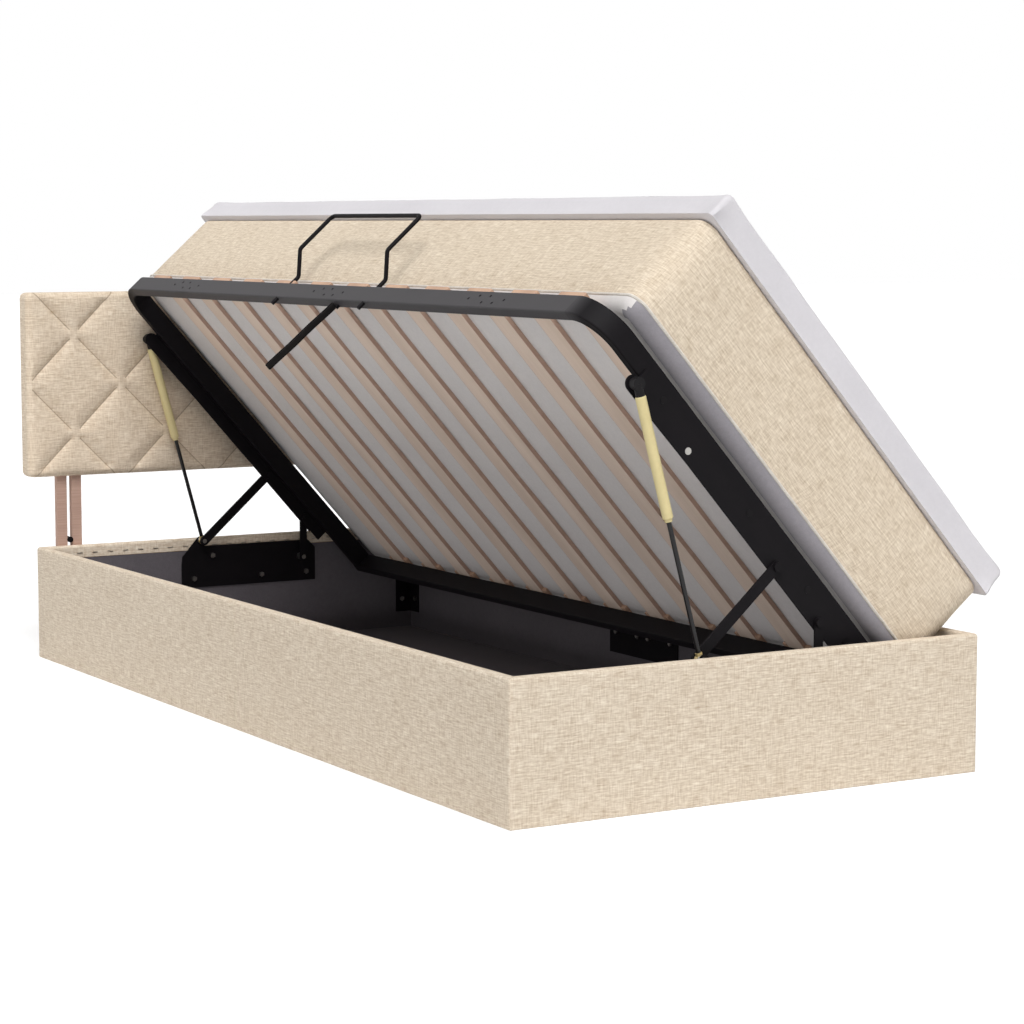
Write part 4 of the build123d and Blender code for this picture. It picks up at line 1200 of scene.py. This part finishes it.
def to_line(x, z):
    """How far a point lies from the nearest quilting line, and from the nearest crossing along it."""
    across = (x + BOARD_HALF) / DIAMOND
    up = (z - MIDDLE_ROW) / DIAMOND
    rising = (across - up + 1) % 2 - 1
    falling = (across + up + 1) % 2 - 1
    nearest = min(abs(rising), abs(falling)) * DIAMOND * MITRE
    to_crossing = max(abs(rising), abs(falling)) * DIAMOND * MITRE
    return nearest, to_crossing


def to_edge(point):
    """How far a point lies from the nearest edge of the pad."""
    return min(BOARD_HALF - abs(point.x), point.z - BOARD_LOW, BOARD_HIGH - point.z)


def ramp(value, start, width):
    """Rises from 0 at the start to 1 over a width."""
    return max(0.0, min(1.0, (value - start) / width))


def on_line(point):
    """True for a front point that the quilting holds down."""
    if point.y > BOARD_FRONT + FRONT_REACH:
        return False
    nearest, to_crossing = to_line(point.x, point.z)
    return nearest < LINE_REACH and to_crossing > LINE_BREAK and to_edge(point) > EDGE_BREAK


pick(pad, "VERT", on_line)
bpy.ops.mesh.vert_connect()
leave_edit()
print("Points on the lines:", sum(on_line(point.co) for point in pad.data.vertices))
for point in pad.data.vertices:
    if point.co.y < BOARD_FRONT + FRONT_REACH:
        nearest, to_crossing = to_line(point.co.x, point.co.z)
        edge = to_edge(point.co)
        held = ramp(to_crossing, LINE_BREAK * 0.6, END_FADE) * ramp(edge, EDGE_FADE_START, END_FADE)
        valley = sum(share * math.exp(-nearest / width) for share, width in VALLEY)
        rise = BELLY * min(1.0, nearest / BELLY_WIDTH) * min(1.0, edge / BELLY_EDGE)
        point.co.y += LINE_DEPTH * valley * held - rise

# %% [markdown]
# The thread pulls the cloth into a crease that is finer than the mesh. The same two distances,
# worked out in the material, paint the crease's shade as a darker tone along each line.

# %% The painted shade along each crease
PAD_SIDE = 0.012
CREASE_SHADE_SHARE = 0.55
tree = headboard_linen.node_tree
across = value_of(tree, "MULTIPLY_ADD", place_on(tree, 0), 1 / DIAMOND, BOARD_HALF / DIAMOND)
up = value_of(tree, "MULTIPLY_ADD", place_on(tree, 2), 1 / DIAMOND, -MIDDLE_ROW / DIAMOND)
slopes = []
for operation in ("SUBTRACT", "ADD"):
    slope = value_of(tree, "WRAP", value_of(tree, operation, across, up), 1.0, -1.0)
    slopes.append(value_of(tree, "MULTIPLY", value_of(tree, "ABSOLUTE", slope), DIAMOND * MITRE))
near = value_of(tree, "LESS_THAN", value_of(tree, "MINIMUM", *slopes), THREAD)
plain = value_of(tree, "GREATER_THAN", value_of(tree, "MAXIMUM", *slopes), LINE_BREAK)
in_front = value_of(tree, "LESS_THAN", place_on(tree, 1), BOARD_FRONT + PAD_SIDE)
crease_shade_mask = value_of(tree, "MULTIPLY", value_of(tree, "MULTIPLY", near, plain), in_front)
# The darker tone is painted shade in the crease.
add_tone(headboard_linen, value_of(tree, "MULTIPLY", crease_shade_mask, CREASE_SHADE_SHARE), seen(146, 122, 98))
print("Creases", round(2000 * THREAD, 1), "mm wide")


# %% Filling the diamonds
VALLEY_FROM = 0.0035


def wrap_board(point, face):
    """Cloth that lies straight on the front and back, and turns over the pad's edges."""
    depth = point.y - BOARD_FRONT
    along = point.x + (depth if abs(face.normal.x) > 0.7 else 0.0)
    return (along, point.z + (depth if abs(face.normal.z) > 0.7 else 0.0))


def is_held(point):
    """True for the pad's sides and back, and for the bottom of its valleys."""
    in_valley = point.y > BOARD_FRONT + VALLEY_FROM and to_line(point.x, point.z)[0] < LINE_REACH
    return point.y > BOARD_FRONT + PAD_SIDE or in_valley


pad_rise = swell(pad, is_held, pressure=3.0, cap=0.0018)
use_modifier(pad, "SUBSURF", levels=1, render_levels=1)
lay_cloth(pad, wrap_board)
smooth(pad, 50)
pad.data.materials.append(headboard_linen)
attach(pad, "headboard")
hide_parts("headboard_pad")
print("Quilt swells by", round(pad_rise * 1000, 1), "mm,", len(pad.data.polygons), "faces")

# %% [markdown]
# ## The pull strap
# A loop of black webbing hangs from the front rail. It is a tall ring pressed flat: a short tube is
# drawn out into a slot, given the webbing's thickness and softened at its edges.

# %% The strap
STRAP_ROOT = Vector((-0.0210, -0.067, -0.0782))
STRAP_TIP = Vector((-0.0210, -0.045, -0.2498))
STRAP_WIDTH = 0.0115
STRAP_LOOP = 0.0100
STRAP_STEP = 0.012
STRAP_WAIST = 0.35
STRAP_SWAY = 0.0016
SWAY_PER_METRE = 60
WEBBING = 0.0021
WEBBING_EDGE = 0.0006
bpy.ops.object.select_all(action="DESELECT")
bpy.ops.mesh.primitive_cylinder_add(
    vertices=32, radius=STRAP_LOOP / 2, depth=STRAP_WIDTH, end_fill_type="NOTHING",
    rotation=(0, QUARTER, 0),
)
strap = bpy.context.object
strap.name = "strap_loop"
fix_place(strap)
strap_run = STRAP_TIP - STRAP_ROOT
strap_reach = strap_run.length
stretch = (strap_reach - STRAP_LOOP) / 2
for point in strap.data.vertices:
    point.co.z += stretch if point.co.z > 0 else -stretch
    from_middle = min(1.0, abs(point.co.z) / (stretch + STRAP_LOOP / 2))
    point.co.y *= 1 - STRAP_WAIST * math.cos(math.pi * from_middle / 2)
cut_across(strap, 2, even_places(-stretch, stretch, STRAP_STEP))
for point in strap.data.vertices:
    sway = STRAP_SWAY * math.sin(point.co.z * SWAY_PER_METRE)
    point.co.y += sway * math.cos(math.pi * point.co.z / (2 * stretch + STRAP_LOOP))
face_outwards(strap)
lay_cloth(strap, lambda point, face: (point.z, point.x))
use_modifier(strap, "SOLIDIFY", thickness=WEBBING, offset=-1.0, use_even_offset=True)
use_modifier(strap, "BEVEL", width=WEBBING_EDGE, segments=2, limit_method="ANGLE")
smooth(strap, 40)
middle = Matrix.Translation((STRAP_ROOT + STRAP_TIP) / 2)
lean = Matrix.Rotation(math.atan2(strap_run.y, -strap_run.z), 4, "X")
fix_place(strap, LID_PLACE @ middle @ lean)
strap.data.materials.append(webbing)
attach(strap, "strap")
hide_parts("pull_strap")
print("Strap:", round(strap_reach, 3), "m long")
